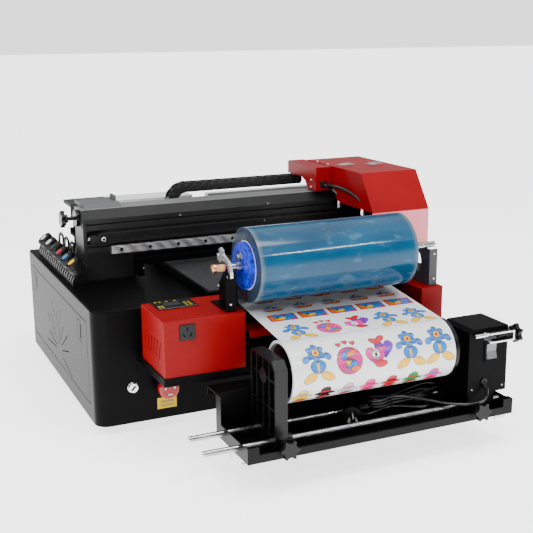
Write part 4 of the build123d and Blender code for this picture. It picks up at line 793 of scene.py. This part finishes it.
def ink_bottles():
    """Six black bottles with fluted caps, each marked with its ink's colour."""
    bottles = bmesh.new()
    for k, mark in enumerate(CAP_MARKS):
        place = Matrix.Translation(at(BOTTLE_X, BOTTLE_Y0 + BOTTLE_PITCH * k, BOTTLE_Z))
        place = place @ Matrix.Rotation(math.radians(-BOTTLE_LEAN), 4, "Y")
        lathe(bottles, ((15.5, -22), (15.5, -7.5), (14.4, -6.6), (14.4, -6.0)), place)
        lathe(bottles, ((15.2, -6), (15.9, -5.2), (15.9, 4.2), (14.8, 5.6), (11.5, 5.9), (11.2, 5.2)), place)
        for flute in range(30):
            turn = Matrix.Rotation(2 * math.pi * flute / 30, 4, "Z")
            slab(bottles, (15.4, -0.7, -5), (16.4, 0.7, 4), 0.3, place @ turn)
        badge = bmesh.new()
        lathe(badge, ((7.6, 5.0), (7.6, 5.9), (7.0, 6.2), (3.0, 6.3)), place, 30)
        piece(f"cap_mark_{k}", badge, mark, "cabinet")
    made = piece("ink_bottles_fluted", bottles, "black_plastic", "cabinet")
    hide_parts("ink_bottles")


# ---- small details ------------------------------------------------------------------
def carriage_details():
    """Arm screws, grommet, the two cables to the head, and the bright catches on top."""
    screws = bmesh.new()
    for z in (389.3, 374.0):
        screw_head(screws, at(560, 243.4, z), (-1, 0, 0), 2.6)
    for x, y in ((604, 250), (604, 300)):
        screw_head(screws, at(x, y, 420), (0, 0, 1), 2.4)
    piece("carriage_screws", screws, "chrome", "carriage")
    grommet = bmesh.new()
    slab(grommet, (-9.5, -1.5, -6.5), (9.5, 1.5, 6.5), 1.4, Matrix.Translation(at(577, 221, 382)))
    piece("arm_grommet", grommet, "rubber", "carriage")
    for k, end in enumerate(((604, 195), (604, 92))):
        x, y = end
        route = ((577 + 3 * k, 222, 382 + 2 * k), (579 + 3 * k, 205 - 20 * k, 381 + 2 * k),
                 (594, y + 24 + 22 * k, 372 + 6 * k), (603, y + 8, 362), (604, y, 350), (604, y, 338))
        line(f"head_cable_{k}", route, 3.6, "flex", "carriage")
        fitting = bmesh.new()
        lathe(fitting, ((5.2, -9), (5.2, 0), (4.2, 1), (4.2, 6), (3.7, 7)),
              Matrix.Translation(at(604, y, 342)), 6)
        piece(f"cable_fitting_{k}", fitting, "chrome", "carriage")
    catches = bmesh.new()
    for x, y in ((636, 226), (697, 209)):
        seat = Matrix.Translation(at(x, y, 420)) @ Matrix.Rotation(math.radians(12), 4, "Z")
        slab(catches, (-17, -11, 0), (17, 11, 1.6), 0.5, seat)
        slab(catches, (-11, -7, 1.5), (3, 7, 3.6), 0.8, seat)
        slab(catches, (6, -8, 1.5), (13, 8, 3.0), 0.8, seat)
    piece("cover_catches", catches, "chrome", "carriage")


def gantry_details():
    """Screws on the beam and crossbar, and the bright pin round the idler pulley."""
    screws = bmesh.new()
    for x, z in ((448, 348.3), (158.9, 243.5), (643, 243.5), (440, 312), (250, 340)):
        depth = 229.5 if z > 300 else 200
        screw_head(screws, at(x, depth, z), (0, -1, 0), 2.6)
    for y, z in ((240, 236), (240, 330), (280, 236), (280, 330)):
        screw_head(screws, at(45, y, z), (-1, 0, 0), 3.0)
    piece("gantry_screws", screws, "steel", "cabinet")
    ring = bmesh.new()
    lathe(ring, ((4.6, 0), (4.6, 2.4), (4.0, 3.0), (3.0, 3.0), (2.4, 2.0), (2.3, 0.6)),
          facing(at(80, 203, 310), (0, -1, 0)), 30)
    piece("idler_nut", ring, "chrome", "cabinet")
    adjuster = bmesh.new()
    lathe(adjuster, ((1.6, 0), (1.6, 8), (3.6, 8), (3.9, 8.6), (3.9, 12), (3.5, 12.6), (1.6, 12.6)),
          facing(at(64, 214, 310), (-1, 0, 0)), 24)
    piece("belt_adjuster", adjuster, "steel", "cabinet")
    slots = bmesh.new()
    for k in range(10):
        seat = facing(at(117.5 + 60 * k, 209.45, 284.5), (0, -1, 0))
        lathe(slots, ((3.6, -2), (3.6, -0.4), (2.2, -0.3), (2.0, -1.6)), seat, 20)
    piece("rail_screws", slots, "black_plastic", "cabinet")


def laminator_details():
    """The control panel's face, screws on the stands, the spindle's coloured end and plug bolts."""
    face = bmesh.new()
    slab(face, (113, -73, 239.0), (144, -53, 239.4), 0.15, Matrix.Translation(-ORIGIN / 1000))
    piece("panel_display", face, "display", "cabinet")
    keys = bmesh.new()
    for x, y in ((102, -79), (108, -79), (102, -71), (108, -71), (104, -44), (112, -44), (152, -79),
                 (160, -79),
                 (152, -70), (160, -70), (152, -61), (160, -61), (125, -44), (140, -44)):
        slab(keys, (x - 2.2, y - 1.8, 239), (x + 2.2, y + 1.8, 239.7), 0.3,
             Matrix.Translation(-ORIGIN / 1000))
    piece("panel_keys", keys, "key", "cabinet")
    screws = bmesh.new()
    for z in (250, 298):
        screw_head(screws, at(207, -148, z), (0, -1, 0), 2.4)
        screw_head(screws, at(621, -148, z), (0, -1, 0), 2.4)
    piece("stand_screws", screws, "chrome", "cabinet")
    plug_bolt = bmesh.new()
    lathe(plug_bolt, ((4.4, 0), (4.4, 7), (3.6, 8), (2.2, 8), (2.2, 5)),
          facing(at(233, -134, 330), (-1, 0, 0)), 6)
    lathe(plug_bolt, ((7.5, -0.5), (7.5, 0.6), (6.8, 1), (4.6, 1)), facing(at(233, -134, 330), (-1, 0, 0)),
          30)
    piece("plug_bolt", plug_bolt, "steel", "supply_roll")
    end_colours = (("pink", 185, 192), ("key", 192, 197), ("pink", 197, 201))
    for k, (colour, x0, x1) in enumerate(end_colours):
        band = bmesh.new()
        lathe(band, ((6.02, x0), (6.25, x0 + 0.3), (6.25, x1 - 0.3), (6.02, x1)),
              Matrix.Translation(at(0, ROLL_Y, ROLL_Z)) @ Matrix.Rotation(math.radians(90), 4, "Y"), 30)
        piece(f"spindle_band_{k}", band, colour, "supply_roll")
    tip = bmesh.new()
    lathe(tip, ((4.6, -1.2), (6.6, -0.8), (8.05, 0.2), (8.05, 5.8), (6.4, 6.2)),
          Matrix.Translation(at(179, ROLL_Y, ROLL_Z)) @ Matrix.Rotation(math.radians(90), 4, "Y"), 30)
    piece("spindle_tip", tip, "brass", "supply_roll")


def cabinet_details():
    """The yellow label with its blank bars, the lock's bezel and slot, and the stop button's arrows."""
    plate = bmesh.new()
    slab(plate, (115, -0.5, 19), (153, 0, 41), 0.2, Matrix.Translation(-ORIGIN / 1000))
    piece("front_label", plate, "label", "cabinet")
    marks = bmesh.new()
    for k in range(6):
        slab(marks, (122 + 4.2 * k, -0.7, 31), (124.6 + 4.2 * k, -0.4, 34.6), 0.1,
             Matrix.Translation(-ORIGIN / 1000))
    for low, reach in ((26.6, 28), (23.6, 24)):
        slab(marks, (134 - reach / 2, -0.7, low), (134 + reach / 2, -0.4, low + 1.2), 0.1,
             Matrix.Translation(-ORIGIN / 1000))
    piece("label_marks", marks, "navy", "cabinet")
    bezel = bmesh.new()
    lathe(bezel, ((10.3, 0), (10.3, 0.6), (9.9, 1.0), (9.65, 1.0), (9.65, 0)),
          facing(at(69, 0, 70), (0, -1, 0)), 40)
    piece("lock_bezel", bezel, "chrome", "cabinet")
    slot = bmesh.new()
    seat = facing(at(69, 0, 70), (0, -1, 0)) @ Matrix.Rotation(math.radians(40), 4, "Z")
    slab(slot, (-6.6, -1.7, 5.8), (6.6, 1.7, 6.15), 0.1, seat)
    piece("lock_slot", slot, "black_plastic", "lock")
    arrows = bmesh.new()
    face = facing(at(130, 0, 67), (0, -1, 0))
    for k in range(3):
        turn = math.radians(120 * k - 90)
        arc = [(r * math.cos(turn + a), r * math.sin(turn + a)) for r, sweep in ((10.6, 1), (8.6, -1))
               for a in [sweep * math.radians(d) for d in (-26, -9, 9, 26)]]
        prism(arrows, arc, 0.5, face @ Matrix.Translation((0, 0, 0.0339)))
    piece("stop_arrows", arrows, "white_plastic", "stop_button")


def takeup_details():
    """Bolts on the motor case and the rods' bright ends."""
    screws = bmesh.new()
    for x, z in ((600, 186), (660, 88), (595, 88)):
        screw_head(screws, at(x, -317, z), (0, -1, 0), 2.2)
    screw_head(screws, at(575, -317 + 75, 132), (-1, 0, 0), 2.2)
    piece("motor_screws", screws, "steel", "cabinet")
    ends = bmesh.new()
    for y in (-300, -235):
        lathe(ends, ((4.2, -0.3), (5.1, 0.5), (5.1, 3.0), (4.9, 3.4)),
              Matrix.Translation(at(92, y, 55)) @ Matrix.Rotation(math.radians(90), 4, "Y"), 30)
    piece("rod_ends", ends, "chrome", "cabinet")


# ---- studio -------------------------------------------------------------------------
def light(name, place, target, size, power):
    """A soft rectangular lamp aimed at a point."""
    lamp = bpy.data.lights.new(name, "AREA")
    lamp.shape = "RECTANGLE"
    lamp.size, lamp.size_y = size
    lamp.energy = power
    holder = bpy.data.objects.new(name, lamp)
    holder.location = place
    holder.rotation_euler = (Vector(target) - Vector(place)).to_track_quat("-Z", "Y").to_euler()
    bpy.context.scene.collection.objects.link(holder)


def studio_world():
    """A white horizon and overhead, with a dark band between that keeps the black paint black."""
    world = bpy.data.worlds.new("studio")
    world.use_nodes = True
    tree = world.node_tree
    coords = tree.nodes.new("ShaderNodeTexCoord").outputs["Generated"]
    height = parts_of(tree, coords)[2]
    ramp = tree.nodes.new("ShaderNodeValToRGB")
    stops = ramp.color_ramp.elements
    for place, grey in ((0.52, 1.0), (0.56, 0.36), (0.61, 0.07), (0.72, 0.07), (0.82, 0.6)):
        stop = stops.new(place)
        stop.color = (grey, grey, grey, 1)
    stops[0].color = (1, 1, 1, 1)
    stops[-1].color = (1, 1, 1, 1)
    tree.links.new(spread(tree, height, 0, 1, -1, 1), ramp.inputs["Fac"])
    sky = tree.nodes["Background"]
    tree.links.new(ramp.outputs["Color"], sky.inputs["Color"])
    sky.inputs["Strength"].default_value = 1.9
    bpy.context.scene.world = world


def studio():
    """A pale floor, the studio's surroundings and soft lamps."""
    floor_shape = bmesh.new()
    bmesh.ops.create_grid(floor_shape, x_segments=2, y_segments=2, size=30)
    mesh = bpy.data.meshes.new("floor")
    floor_shape.to_mesh(mesh)
    floor_shape.free()
    material, tree, shader, coords = blank("floor")
    patches = noise(tree, coords, 0.7, 2.0)
    tree.links.new(mix(tree, spread(tree, patches, 0, 1), (0.90, 0.90, 0.90), (0.93, 0.93, 0.93)),
                   shader.inputs["Base Color"])
    shader.inputs["Roughness"].default_value = 0.8
    shader.inputs["Emission Color"].default_value = (1, 1, 1, 1)
    shader.inputs["Emission Strength"].default_value = 2.2
    mesh.materials.append(material)
    floor = bpy.data.objects.new("floor", mesh)
    bpy.context.scene.collection.objects.link(floor)
    studio_world()
    light("strip", (1.15, -2.1, 1.75), (0.05, -0.25, 0.33), (0.5, 0.05), 9)
    light("left", (-2.2, -0.6, 1.9), (-0.1, 0.0, 0.2), (1.2, 1.0), 36)
    light("top", (0.3, -0.9, 2.5), (0.1, -0.1, 0.3), (1.2, 0.8), 34)


camera()
mains_cord()
dress_nodes()
cable_chain()
printed_film()
ink_bottles()
carriage_details()
gantry_details()
laminator_details()
cabinet_details()
takeup_details()
studio()
